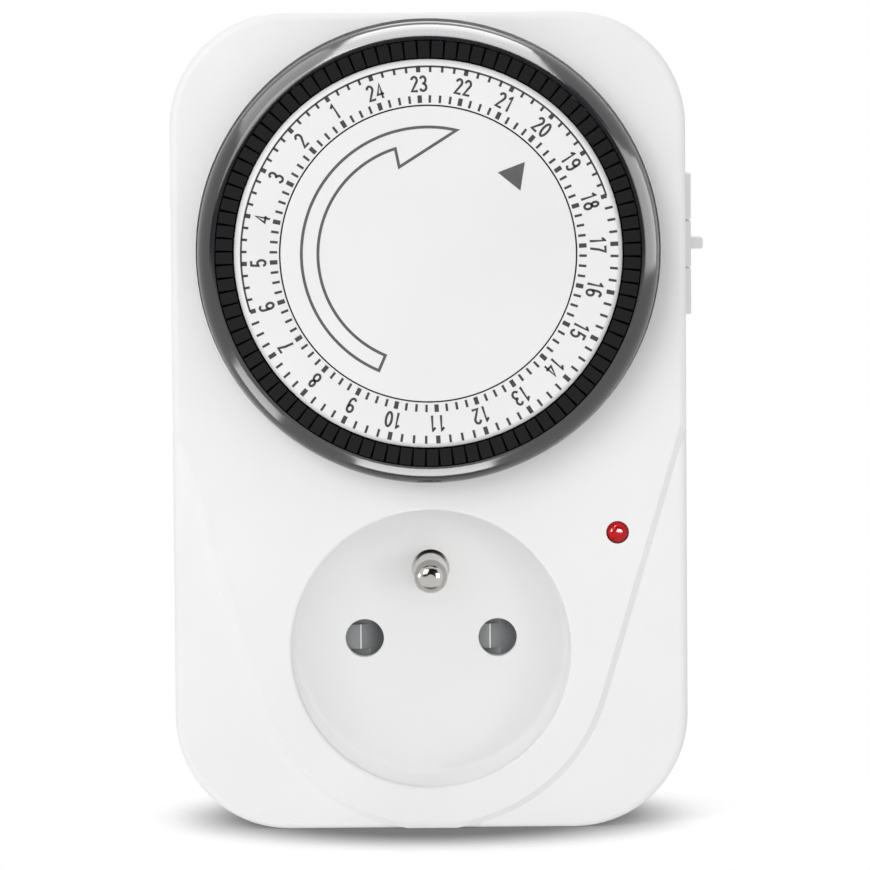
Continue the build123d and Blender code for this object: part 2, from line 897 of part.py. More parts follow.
def plate_screws():
    """Screws of the plate, in its three posts, and of the motor's two ears."""
    screws = []
    for place in plate_screw_places:
        shank = rod(place, post_screw_radius, plate_front - post_screw_depth, plate_back)
        screws.append(shank + rod(place, post_screw_head_radius, plate_back, plate_back + post_screw_head))
    for place in motor_ear_places:
        shank = rod(place, post_screw_radius, plate_front, ear_back)
        screws.append(shank + rod(place, post_screw_head_radius, ear_back, ear_back + post_screw_head))
    return screws


def motor():
    """Synchronous motor: a drawn can with two ears on the plate and its bearing collar."""
    can = rod(motor_centre, motor_radius, plate_back, plate_back + motor_depth)
    can = fillet(can.faces().sort_by(Axis.Y)[-1].edges(), motor_edge)
    ears = []
    for place in motor_ear_places:
        ear = make_hull(
            (Pos(*place) * Circle(plate_post_radius)).edges()
            + (Pos(*motor_centre) * Circle(motor_ear_root)).edges()
        )
        ears.append(prism(ear, plate_back, ear_back))
    can += ears
    can -= [rod(place, post_screw_radius, plate_back, ear_back) for place in motor_ear_places]
    shaft_end = plate_back + motor_shaft_depth + slide
    return can - rod(motor_centre, axle_radius + axle_play, plate_back, shaft_end)


def motor_pinion():
    """Pinion on the motor's shaft."""
    phase = motor_angle + 180
    pinion = prism(Pos(*motor_centre) * gear_outline(motor_module, motor_teeth, phase + 180 / motor_teeth),
                   idler_front, idler_back)
    return pinion + rod(motor_centre, axle_radius, idler_back, plate_back + motor_shaft_depth)


def idler_gear():
    """Two-step gear: its pinion drives the dial's gear and its wheel is driven by the motor."""
    phase = idler_angle + 180 + 180 / idler_pinion_teeth
    small = prism(
        Pos(*idler_centre) * gear_outline(dial_module, idler_pinion_teeth, phase), gear_front, idler_front
    )
    large = prism(
        Pos(*idler_centre) * gear_outline(motor_module, idler_teeth, motor_angle), idler_front, idler_back
    )
    return small + large - rod(idler_centre, axle_radius + axle_play, gear_front, idler_back)


def idler_axle():
    """Steel axle of the idler, pressed into the plate."""
    return rod(idler_centre, axle_radius, gear_front - clear, plate_back)


# ---- Follower and switch ----

blade_front = lever_back + 1.55
blade_back = blade_front + blade_thickness
blade_middle = (blade_front + blade_back) / 2
root_z = pivot_z - contact_root_below_pivot
push_z = pivot_z + push_above_pivot
rivet_z = push_z + rivet_above_push
blade_top = rivet_z + blade_above_rivet
rivet_back = blade_back + rivet_height
fixed_rivet_front = rivet_back + 0.15
fixed_rivet_back = fixed_rivet_front + 0.6
fixed_back = fixed_rivet_back + 1.5 * blade_thickness
root_radius = 0.6
base_half = blade_width / 2 + base_wall
base_bottom = root_z - base_height
base_front = blade_front - root_radius - base_wall
base_back = fixed_back + base_wall


def follower_lever():
    """Lever with a rounded nose that reaches through the well floor to the segments' stems."""
    nose_tip = pushed_stem + clear
    left = nose_x - lever_width / 2
    right = nose_x + lever_width / 2
    arm = block((left, right), (lever_front, lever_back), (pivot_z, nose_z + lever_top))
    arm += cross_pin(lever_thickness, left, right, pivot_y, pivot_z)
    nose = block(
        (nose_x - nose_width / 2, nose_x + nose_width / 2),
        (nose_tip, lever_front),
        (nose_z - nose_height / 2, nose_z + nose_height / 2),
    )
    nose = fillet(nose.faces().sort_by(Axis.Y)[0].edges().filter_by(Axis.X), nose_height / 2 - slide)
    bump_y = blade_front - bump_gap - bump_radius
    bump = cross_pin(bump_radius, nose_x - bump_radius, nose_x + bump_radius, bump_y, push_z)
    bump += block(
        (nose_x - bump_radius, nose_x + bump_radius),
        (lever_back, bump_y),
        (push_z - bump_radius, push_z + bump_radius),
    )
    return arm + nose + bump - cross_pin(axle_radius + axle_play, left, right, pivot_y, pivot_z)


def follower_pin():
    """Steel pin of the follower lever."""
    return cross_pin(axle_radius, pin_left, pin_right, pivot_y, pivot_z)


def moving_contact():
    """Contact arm: a round root in its groove, a flat blade and a contact rivet."""
    half = blade_width / 2
    arm = cross_pin(root_radius, nose_x - half, nose_x + half, blade_middle, root_z)
    arm += block((nose_x - half, nose_x + half), (blade_front, blade_back), (root_z, blade_top))
    return arm + rod((nose_x, rivet_z), rivet_radius, blade_back, rivet_back)


def fixed_contact():
    """Fixed contact blade with its rivet, standing in the switch base, and its tail to the live link."""
    half = blade_width / 2
    blade = block((nose_x - half, nose_x + half), (fixed_rivet_back, fixed_back), (base_bottom, blade_top))
    blade += rod((nose_x, rivet_z), rivet_radius, fixed_rivet_front, fixed_rivet_back)
    return blade + base_tail(-1, (fixed_rivet_back, live_front))


def switch_base():
    """Moulded base: a groove for the moving contact's root, a slot for the fixed one, and its foot."""
    left = nose_x - base_half
    right = nose_x + base_half
    base = block((left, right), (base_front, base_back), (base_bottom, root_z))
    foot = (left + base_wall / 2, right - base_wall / 2)
    base += block(foot, (base_back, rear_inside), (base_bottom, base_bottom + base_foot_height))
    base -= cross_pin(root_radius + running, left, right, blade_middle, root_z)
    half = blade_width / 2
    return base - block(
        (nose_x - half, nose_x + half), (fixed_rivet_back, fixed_back), (base_bottom, root_z)
    )


def override_slider():
    """Side slider: a nub outside and a guide plate inside the wall."""
    nub = block(
        (side_inside - slide, body_side + override_reach),
        (override_y - nub_width / 2, override_y + nub_width / 2),
        (override_centre - nub_thickness / 2, override_centre + nub_thickness / 2),
    )
    nub = fillet(nub.faces().sort_by(Axis.X)[-1].edges(), nub_edge)
    plate = block(
        (side_inside - slide - slider_plate, side_inside - slide),
        (override_y - slider_plate_width / 2, override_y + slider_plate_width / 2),
        (override_centre - slider_plate_half, override_centre + slider_plate_half),
    )
    return nub + plate


def detent_leaf():
    """Arched leaf behind the slider, its ends against the two stops."""
    crown = side_inside - slide - slider_plate - slide
    end = crown - leaf_sag
    section = make_face(
        [
            ThreePointArc((end, -stop_gap), (crown, 0), (end, stop_gap)),
            Line((end, stop_gap), (end - leaf_thickness, stop_gap)),
            ThreePointArc(
                (end - leaf_thickness, stop_gap),
                (crown - leaf_thickness, 0),
                (end - leaf_thickness, -stop_gap),
            ),
            Line((end - leaf_thickness, -stop_gap), (end, -stop_gap)),
        ]
    )
    half = nub_width / 2
    return prism(Pos(0, override_centre) * section, override_y - half, override_y + half)


# ---- Lamp ----


def lamp():
    """Red indicator lamp with a domed end and a collar behind the front wall."""
    radius = lamp_diameter / 2
    lens = rod((lamp_x, lamp_z), radius, front_face - lamp_proud, board_front)
    lens = fillet(lens.faces().sort_by(Axis.Y)[0].edges(), radius - lamp_tip_flat)
    collar_front = front_inside + lamp_collar_width
    return lens + rod((lamp_x, lamp_z), radius + lamp_collar, collar_front, collar_front + lamp_collar_width)


def lamp_board():
    """Small circuit board behind the lamp, on two posts of the front housing."""
    return block(
        (lamp_x - board_width / 2, lamp_x + board_width / 2),
        (board_front, board_front + board_thickness),
        (lamp_z - board_height / 2, lamp_z + board_height / 2),
    )


# ---- Links ----

link_thickness = 0.8
link_width = 4.0
tail_width = 3.0
tail_gap = 1.0
tail_turn = 1.5  # middle of a strip's last turn below its tail
contact_end = retainer_back + contact_length + contact_floor
head_front = strap_back - pin_head
live_front = rear_inside - clear - link_thickness
tail_bottom = base_bottom - link_thickness


def neutral_link():
    """Bridge between the left socket contact and the left plug pin."""
    return rod((-pin_x, 0), pin_radius, contact_end, head_front)


def flat_link(points, front):
    """A stamped strip that follows points seen from the front, with round corners and ends."""
    ends = [(Pos(*point) * Circle(link_width / 2)).edges() for point in points]
    runs = [make_hull(start + end) for start, end in zip(ends, ends[1:])]
    return prism(Sketch() + runs, front, front + link_thickness)


def base_tail(side, y_range):
    """A strip that runs front to back under the switch base, left (-1) or right (1) of its middle."""
    near = nose_x + side * tail_gap / 2
    far = near + side * tail_width
    return block((min(near, far), max(near, far)), y_range, (tail_bottom, base_bottom))


def load_link():
    """Strip from the right socket contact to the switch base, under it, and up to the moving contact."""
    tail_x = nose_x + (tail_gap + tail_width) / 2
    link = flat_link([(pin_x, 0), (tail_x, 0), (tail_x, tail_bottom - tail_turn)], contact_end)
    riser_front = base_front - link_thickness
    link += block(
        (tail_x - tail_width / 2, tail_x + tail_width / 2),
        (contact_end, contact_end + link_thickness),
        (0, base_bottom),
    )
    link += base_tail(1, (riser_front, contact_end + link_thickness))
    return link + block(
        (tail_x - tail_width / 2, tail_x + tail_width / 2),
        (riser_front, base_front),
        (tail_bottom, root_z - root_radius - clear),
    )


def live_link():
    """Strip on the rear wall from the right plug pin up to the fixed contact's tail."""
    tail_x = nose_x - (tail_gap + tail_width) / 2
    turn_z = tail_bottom - tail_turn
    link = flat_link([(pin_x, 0), (pin_x, turn_z - (tail_x - pin_x)), (tail_x, turn_z)], live_front)
    link += block(
        (tail_x - tail_width / 2, tail_x + tail_width / 2),
        (live_front, live_front + link_thickness),
        (turn_z, base_bottom),
    )
    return link + rod((pin_x, 0), pin_radius - stem_step, live_front + link_thickness, head_front)


# ---- Write every piece ----

pieces = {
    "front_housing": front_housing(),
    "rear_housing": rear_housing(),
    "housing_screws": housing_screws(),
    "pin_carrier": pin_carrier(),
    "plug_pins": plug_pins(),
    "earth_sleeve": earth_sleeve(),
    "earth_strap": earth_strap(),
    "earth_pin": earth_pin(),
    "socket_cup": socket_cup(),
    "shutter": shutter(),
    "shutter_retainer": shutter_retainer(),
    "shutter_spring": shutter_spring(),
    "socket_contacts": socket_contacts(),
    "dial_wheel": dial_wheel(),
    "number_ring": number_ring(),
    "guard_ring": guard_ring(),
    "dial_gear": dial_gear(),
    "centre_cap": centre_cap(),
    "gear_plate": gear_plate(),
    "plate_screws": plate_screws(),
    "motor": motor(),
    "motor_pinion": motor_pinion(),
    "idler_gear": idler_gear(),
    "idler_axle": idler_axle(),
    "follower_lever": follower_lever(),
    "follower_pin": follower_pin(),
    "moving_contact": moving_contact(),
    "fixed_contact": fixed_contact(),
    "switch_base": switch_base(),
    "override_slider": override_slider(),
    "detent_leaf": detent_leaf(),
    "lamp": lamp(),
    "lamp_board": lamp_board(),
    "neutral_link": neutral_link(),
    "load_link": load_link(),
    "live_link": live_link(),
}
for hour in range(hours):
    pieces[f"segments_{hour:02d}h"] = [
        on_dial(segment_angle(hour, quarter)) * programme_segment() for quarter in range(segments_per_hour)
    ]

for name, shape in pieces.items():
    if isinstance(shape, list):
        shape = Compound(children=shape)
    export_step(shape, f"parts/{name}.step")
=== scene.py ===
import json
import math

import bmesh
import bpy
from bpy.props import FloatProperty, FloatVectorProperty, PointerProperty
from mathutils import Matrix, Quaternion, Vector

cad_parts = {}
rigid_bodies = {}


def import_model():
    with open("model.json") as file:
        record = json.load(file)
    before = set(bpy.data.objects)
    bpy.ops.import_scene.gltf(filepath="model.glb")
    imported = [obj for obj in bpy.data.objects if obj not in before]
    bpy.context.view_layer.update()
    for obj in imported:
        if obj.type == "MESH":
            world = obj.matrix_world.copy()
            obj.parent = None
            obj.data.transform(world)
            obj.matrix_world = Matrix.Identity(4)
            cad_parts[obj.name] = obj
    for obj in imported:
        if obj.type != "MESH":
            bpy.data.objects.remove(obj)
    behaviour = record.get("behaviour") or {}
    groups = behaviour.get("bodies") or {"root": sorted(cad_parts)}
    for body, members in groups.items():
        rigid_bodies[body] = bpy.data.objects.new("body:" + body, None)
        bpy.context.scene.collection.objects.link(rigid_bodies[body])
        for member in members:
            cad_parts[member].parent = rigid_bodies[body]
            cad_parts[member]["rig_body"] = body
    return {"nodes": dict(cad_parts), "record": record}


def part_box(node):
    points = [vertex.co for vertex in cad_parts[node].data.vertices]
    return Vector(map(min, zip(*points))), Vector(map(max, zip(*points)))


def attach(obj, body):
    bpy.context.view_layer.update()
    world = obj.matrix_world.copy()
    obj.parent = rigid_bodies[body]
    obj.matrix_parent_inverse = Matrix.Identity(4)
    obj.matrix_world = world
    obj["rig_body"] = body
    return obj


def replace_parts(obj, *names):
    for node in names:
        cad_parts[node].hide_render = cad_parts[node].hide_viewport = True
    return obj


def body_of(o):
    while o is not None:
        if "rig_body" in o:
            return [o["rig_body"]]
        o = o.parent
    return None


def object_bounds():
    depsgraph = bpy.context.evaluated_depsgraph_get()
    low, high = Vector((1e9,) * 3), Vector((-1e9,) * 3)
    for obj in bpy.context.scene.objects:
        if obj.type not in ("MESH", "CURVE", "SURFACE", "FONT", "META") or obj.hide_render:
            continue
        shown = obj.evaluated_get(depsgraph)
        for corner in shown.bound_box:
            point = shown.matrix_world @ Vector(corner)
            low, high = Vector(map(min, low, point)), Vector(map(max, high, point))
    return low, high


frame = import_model()

bl_info = {
    "name": "Plug-in Timer Switch",
    "version": (1, 0, 0),
    "blender": (4, 5, 0),
    "location": "3D View > Sidebar > Timer",
    "description": "Finishes, printed dial and studio for a plug-in mechanical timer switch",
    "category": "Object",
}

# ---- What the frame gives ----

MM = 0.001
CAD_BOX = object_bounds()
NODES = frame["nodes"]
SLOT_OF = {part["node"]: part["material_slot"] for part in frame["record"]["subparts"]}

CAP_LOW, CAP_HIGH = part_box("centre_cap")
RING_LOW, RING_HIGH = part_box("number_ring")
DIAL_X = (RING_LOW.x + RING_HIGH.x) / 2
DIAL_Z = (RING_LOW.z + RING_HIGH.z) / 2
DIAL_FACE = RING_LOW.y
RING_RADIUS = (RING_HIGH.x - RING_LOW.x) / 2
CAP_RADIUS = (CAP_HIGH.x - CAP_LOW.x) / 2
FLOOR_Z = CAD_BOX[0].z
FRONT_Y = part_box("front_housing")[0].y
BACK_Y = -16.5 * MM  # the housing's rear face

INK = 0.03 * MM  # thickness of the printed ink
PRINT_FACE = DIAL_FACE + INK
DISC_EDGE = 0.12 * MM  # the disc's and the ring's rounded corners
RING_PLAY = 0.2 * MM  # gap between the fixed centre and the turning ring
RING_BEVEL = 0.6 * MM
POST_RADIUS = 3.5 * MM  # the post that carries the fixed centre
BOSS_WALL = 2.1 * MM

HOURS = 24
HOUR_STEP = 360 / HOURS
QUARTERS = 4
DAWN, DUSK = 6, 18  # the marks are shorter and joined by a line from dusk to dawn
INNER_MARKS = (22.0 * MM, 20.95 * MM)  # outer and inner end of each kind of mark
DAY_MARKS = (26.4 * MM, 25.3 * MM)
NIGHT_MARKS = (26.0 * MM, 25.2 * MM)
NIGHT_LINE = (26.12 * MM, 25.86 * MM)

POINTER_ANGLE = 42.1  # where the time is read, counter-clockwise from the right
POINTER_RADIUS = 16.2 * MM
POINTER_TURN = 50.8  # direction of its first corner

# pale strips on the tops of the shutter's slopes paint the highlight along each ridge
WEDGE_TOPS = (-10.15 * MM, 8.35 * MM)  # left side of the top of each shutter slope
WEDGE_TOP_WIDTH = 0.17 * MM
WEDGE_HEIGHT = 3.5 * MM
HIGHLIGHT_STRIP_DEPTH = 0.12 * MM


# ---- Small helpers ----


def linear(hex_colour, alpha=1.0):
    """An sRGB hex colour as linear RGBA."""
    parts = [int(hex_colour[i : i + 2], 16) / 255 for i in (1, 3, 5)]
    return tuple(c / 12.92 if c <= 0.04045 else ((c + 0.055) / 1.055) ** 2.4 for c in parts) + (alpha,)


def add(tree, kind, settings=None, values=None, links=None):
    """Add a node with its settings, its input values and the links that come into it."""
    made = tree.nodes.new(kind)
    for key, value in (settings or {}).items():
        setattr(made, key, value)
    for key, value in (values or {}).items():
        made.inputs[key].default_value = value
    for key, source in (links or {}).items():
        tree.links.new(source, made.inputs[key])
    return made


def new_material(name):
    """An empty node material with its output node."""
    material = bpy.data.materials.new(name)
    material.use_nodes = True
    tree = material.node_tree
    tree.nodes.clear()
    return material, tree, add(tree, "ShaderNodeOutputMaterial")


def on_dial(angle, radius, along=0.0):
    """The (x, z) point at an angle (degrees counter-clockwise from the right) and a radius on the dial."""
    turn = math.radians(angle)
    return (
        DIAL_X + radius * math.cos(turn) - along * math.sin(turn),
        DIAL_Z + radius * math.sin(turn) + along * math.cos(turn),
    )


def hour_angle(hour):
    """Where an hour stands on the dial at rest."""
    return bpy.context.scene.timer_dial.hour_17 + (hour - 17) * HOUR_STEP


def put(name, mesh, body, material):
    """Link a finished mesh as a piece that rides on a body and takes its finish from a slot."""
    piece = bpy.data.objects.new(name, mesh)
    bpy.context.scene.collection.objects.link(piece)
    mesh.materials.clear()
    mesh.materials.append(material)
    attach(piece, body)
    return piece


def mesh_from(bm, name, sharp=30.0):
    """A mesh from a bmesh: seams merged, faces outward, smooth but for the edges over an angle."""
    bmesh.ops.remove_doubles(bm, verts=bm.verts, dist=1e-7)
    bmesh.ops.recalc_face_normals(bm, faces=bm.faces)
    return shaded(bm, name, sharp)


def shaded(bm, name, sharp):
    """A mesh from a bmesh whose faces are smooth except across edges sharper than an angle."""
    for face in bm.faces:
        face.smooth = True
    limit = math.radians(sharp)
    for edge in bm.edges:
        edge.smooth = len(edge.link_faces) == 2 and edge.calc_face_angle(0.0) < limit
    mesh = bpy.data.meshes.new(name)
    bm.to_mesh(mesh)
    bm.free()
    return mesh


def smooth_copy(node, name, material, sharp=30.0):
    """A smoothly shaded copy of a CAD node that stands for it."""
    bm = bmesh.new()
    bm.from_mesh(NODES[node].data)
    bmesh.ops.remove_doubles(bm, verts=bm.verts, dist=2e-6)
    bmesh.ops.dissolve_degenerate(bm, edges=bm.edges, dist=1e-6)
    piece = put(name, shaded(bm, name, sharp), body_of(NODES[node])[0], material)
    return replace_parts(piece, node)


def strip(bm, left, right, front, back, closed):
    """A thin solid strip between two rows of (x, z) points."""
    rows = []
    for points, y in ((left, front), (right, front), (right, back), (left, back)):
        rows.append([bm.verts.new((x, y, z)) for x, z in points])
    count = len(left)
    for i in range(count if closed else count - 1):
        j = (i + 1) % count
        for row in range(4):
            a, b = rows[row], rows[(row + 1) % 4]
            bm.faces.new((a[i], a[j], b[j], b[i]))
    if not closed:
        for i in (0, count - 1):
            bm.faces.new([row[i] for row in rows])


def outlined(bm, points, width, front, back, closed=True, point=5.0):
    """A line of even width through (x, z) points; a corner reaches out by up to a number of half widths."""
    sides = ([], [])
    last = len(points) - 1
    for i, place in enumerate(points):
        here = Vector(place)
        before = here - Vector(points[i - 1])
        after = Vector(points[i + 1 if i < last else 0]) - here
        if not closed:
            before = before if i > 0 else after
            after = after if i < last else before
        before.normalize()
        after.normalize()
        across = Vector((-before.y - after.y, before.x + after.x)).normalized()
        reach = width / 2 / max(1 / point, across.dot(Vector((-after.y, after.x))))
        for side, sign in zip(sides, (-1, 1)):
            side.append(tuple(here + sign * reach * across))
    strip(bm, sides[0], sides[1], front, back, closed)


def bow(x, z, reach, rise, start, end):
    """Points along part of an ellipse, from one angle to another."""
    steps = max(2, round(abs(end - start) / 18))
    turns = [math.radians(start + (end - start) * k / steps) for k in range(steps + 1)]
    return [(x + reach * math.cos(turn), z + rise * math.sin(turn)) for turn in turns]


def digit_lines(digit):
    """The pen lines of a digit one unit high and half a unit wide, each with whether it closes."""
    six = bow(0.25, 0.67, 0.19, 0.27, 35, 180) + bow(0.25, 0.28, 0.19, 0.22, 180, 520)
    shapes = {
        "0": [(bow(0.25, 0.5, 0.19, 0.44, 0, 342), True)],
        "1": [([(0.1, 0.76), (0.27, 0.92), (0.29, 0.94), (0.29, 0.0)], False)],
        "2": [(bow(0.24, 0.73, 0.18, 0.21, 172, -38) + [(0.06, 0.06), (0.46, 0.06)], False)],
        "3": [(bow(0.22, 0.73, 0.18, 0.21, 158, -80) + bow(0.22, 0.28, 0.21, 0.22, 80, -160), False)],
        "4": [([(0.35, 0.0), (0.35, 0.9), (0.05, 0.28), (0.49, 0.28)], False)],
        "5": [([(0.42, 0.94), (0.12, 0.94), (0.08, 0.5)] + bow(0.24, 0.31, 0.2, 0.25, 128, -158), False)],
        "6": [(six, False)],
        "7": [([(0.04, 0.94), (0.44, 0.94), (0.28, 0.55), (0.18, 0.0)], False)],
        "8": [
            (bow(0.25, 0.74, 0.15, 0.2, 0, 342), True),
            (bow(0.25, 0.29, 0.19, 0.23, 0, 342), True),
        ],
        "9": [([(0.5 - x, 1.0 - z) for x, z in six], False)],
    }
    return shapes[digit]


def slab(bm, points, front, back):
    """A thin flat solid with a convex outline of (x, z) points."""
    near = [bm.verts.new((x, front, z)) for x, z in points]
    far = [bm.verts.new((x, back, z)) for x, z in points]
    bm.faces.new(near)
    bm.faces.new(far)
    for i in range(len(points)):
        j = (i + 1) % len(points)
        bm.faces.new((near[i], near[j], far[j], far[i]))


def eased(profile, ease, steps=4):
    """A closed (radius, y) profile with each corner rounded by a small curve."""
    points = []
    count = len(profile)
    for i, corner in enumerate(profile):
        corner = Vector(corner)
        before = Vector(profile[i - 1])
        after = Vector(profile[(i + 1) % count])
        if corner.x < 1e-9:
            points.append(tuple(corner))
            continue
        start = corner + (before - corner).normalized() * min(ease, (before - corner).length / 2.2)
        end = corner + (after - corner).normalized() * min(ease, (after - corner).length / 2.2)
        for k in range(steps + 1):
            t = k / steps
            points.append(tuple((1 - t) ** 2 * start + 2 * t * (1 - t) * corner + t * t * end))
    return points


def turned(bm, profile, steps=160):
    """Turn a closed (radius, y) profile about the dial's axis."""
    rings = []
    for k in range(steps):
        turn = 2 * math.pi * k / steps
        ring = [
            bm.verts.new((DIAL_X + r * math.cos(turn), y, DIAL_Z + r * math.sin(turn))) for r, y in profile
        ]
        rings.append(ring)
    count = len(profile)
    for k in range(steps):
        a, b = rings[k], rings[(k + 1) % steps]
        for i in range(count):
            j = (i + 1) % count
            if profile[i][0] < 1e-9 and profile[j][0] < 1e-9:
                continue
            bm.faces.new((a[i], a[j], b[j], b[i]))


# ---- Finishes ----


def moulded(name, colour, roughness, grain_mm, relief_mm, specular=0.5, tint=0.02, coat=0.0):
    """Moulded plastic: a plain colour that clouds slightly, with the tool's fine spark-eroded grain."""
    material, tree, output = new_material(name)
    place = add(tree, "ShaderNodeTexCoord").outputs["Object"]
    cloud = add(
        tree, "ShaderNodeTexNoise", values={"Scale": 1 / (18 * MM), "Detail": 2.0}, links={"Vector": place}
    )
    darker = tuple(c * (1 - tint * 4) for c in linear(colour)[:3]) + (1.0,)
    shade = add(
        tree,
        "ShaderNodeMix",
        settings={"data_type": "RGBA"},
        values={6: linear(colour), 7: darker},
        links={0: cloud.outputs["Fac"]},
    )
    grain = add(
        tree,
        "ShaderNodeTexNoise",
        values={"Scale": 1 / (grain_mm * MM), "Detail": 3.0, "Roughness": 0.6},
        links={"Vector": place},
    )
    gloss = add(
        tree,
        "ShaderNodeMapRange",
        values={"To Min": roughness * 0.88, "To Max": roughness * 1.12},
        links={"Value": grain.outputs["Fac"]},
    )
    bump = add(
        tree,
        "ShaderNodeBump",
        values={"Strength": 0.6, "Distance": relief_mm * MM},
        links={"Height": grain.outputs["Fac"]},
    )
    surface = add(
        tree,
        "ShaderNodeBsdfPrincipled",
        values={"IOR": 1.53, "Specular IOR Level": specular, "Coat Weight": coat, "Coat Roughness": 0.05},
        links={
            "Base Color": shade.outputs[2],
            "Roughness": gloss.outputs["Result"],
            "Normal": bump.outputs["Normal"],
        },
    )
    tree.links.new(surface.outputs["BSDF"], output.inputs["Surface"])
    return material


def plated(name, colour, roughness, grain_mm, stretch, relief_mm):
    """Bare or plated metal: drawing lines of one direction, and a gloss that varies along them."""
    material, tree, output = new_material(name)
    place = add(tree, "ShaderNodeTexCoord").outputs["Object"]
    lay = add(tree, "ShaderNodeMapping", values={"Scale": stretch}, links={"Vector": place})
    lines = add(
        tree,
        "ShaderNodeTexNoise",
        values={"Scale": 1 / (grain_mm * MM), "Detail": 4.0, "Roughness": 0.55},
        links={"Vector": lay.outputs["Vector"]},
    )
    gloss = add(
        tree,
        "ShaderNodeMapRange",
        values={"To Min": roughness * 0.75, "To Max": roughness * 1.3},
        links={"Value": lines.outputs["Fac"]},
    )
    bump = add(
        tree,
        "ShaderNodeBump",
        values={"Strength": 0.4, "Distance": relief_mm * MM},
        links={"Height": lines.outputs["Fac"]},
    )
    surface = add(
        tree,
        "ShaderNodeBsdfPrincipled",
        values={"Base Color": linear(colour), "Metallic": 1.0},
        links={"Roughness": gloss.outputs["Result"], "Normal": bump.outputs["Normal"]},
    )
    tree.links.new(surface.outputs["BSDF"], output.inputs["Surface"])
    return material


def tinted_clear(name, colour, roughness, transmission, ior, streak_mm, specular=0.5):
    """Tinted clear plastic: deep gloss, light let in a little way, faint flow lines from the mould."""
    material, tree, output = new_material(name)
    place = add(tree, "ShaderNodeTexCoord").outputs["Object"]
    flow = add(
        tree,
        "ShaderNodeTexNoise",
        values={"Scale": 1 / (streak_mm * MM), "Detail": 1.5, "Distortion": 0.4},
        links={"Vector": place},
    )
    gloss = add(
        tree,
        "ShaderNodeMapRange",
        values={"To Min": roughness * 0.8, "To Max": roughness * 1.4},
        links={"Value": flow.outputs["Fac"]},
    )
    surface = add(
        tree,
        "ShaderNodeBsdfPrincipled",
        values={
            "Base Color": linear(colour),
            "IOR": ior,
            "Specular IOR Level": specular,
            "Transmission Weight": transmission,
        },
        links={"Roughness": gloss.outputs["Result"]},
    )
    tree.links.new(surface.outputs["BSDF"], output.inputs["Surface"])
    return material


def printed_ink(name, colour):
    """Pad-printed ink of a linear colour: nearly matt, its cover a little uneven."""
    material, tree, output = new_material(name)
    place = add(tree, "ShaderNodeTexCoord").outputs["Object"]
    cover = add(
        tree,
        "ShaderNodeTexNoise",
        values={"Scale": 1 / (0.9 * MM), "Detail": 2.0},
        links={"Vector": place},
    )
    paler = tuple(min(1.0, c * 1.35) for c in colour[:3]) + (1.0,)
    shade = add(
        tree,
        "ShaderNodeMix",
        settings={"data_type": "RGBA"},
        values={6: tuple(colour), 7: paler},
        links={0: cover.outputs["Fac"]},
    )
    surface = add(
        tree,
        "ShaderNodeBsdfPrincipled",
        values={"Roughness": 0.55, "Specular IOR Level": 0.35},
        links={"Base Color": shade.outputs[2]},
    )
    tree.links.new(surface.outputs["BSDF"], output.inputs["Surface"])
    return material


def laminate_board(name):
    """Glass-fibre circuit board: a weave under green solder resist."""
    material, tree, output = new_material(name)
    place = add(tree, "ShaderNodeTexCoord").outputs["Object"]
    weave = add(
        tree,
        "ShaderNodeTexChecker",
        values={"Scale": 1 / (0.35 * MM), "Color1": linear("#2f5a2c"), "Color2": linear("#376635")},
        links={"Vector": place},
    )
    surface = add(
        tree,
        "ShaderNodeBsdfPrincipled",
        values={"Roughness": 0.3, "Coat Weight": 0.4, "Coat Roughness": 0.1},
        links={"Base Color": weave.outputs["Color"]},
    )
    tree.links.new(surface.outputs["BSDF"], output.inputs["Surface"])
    return material


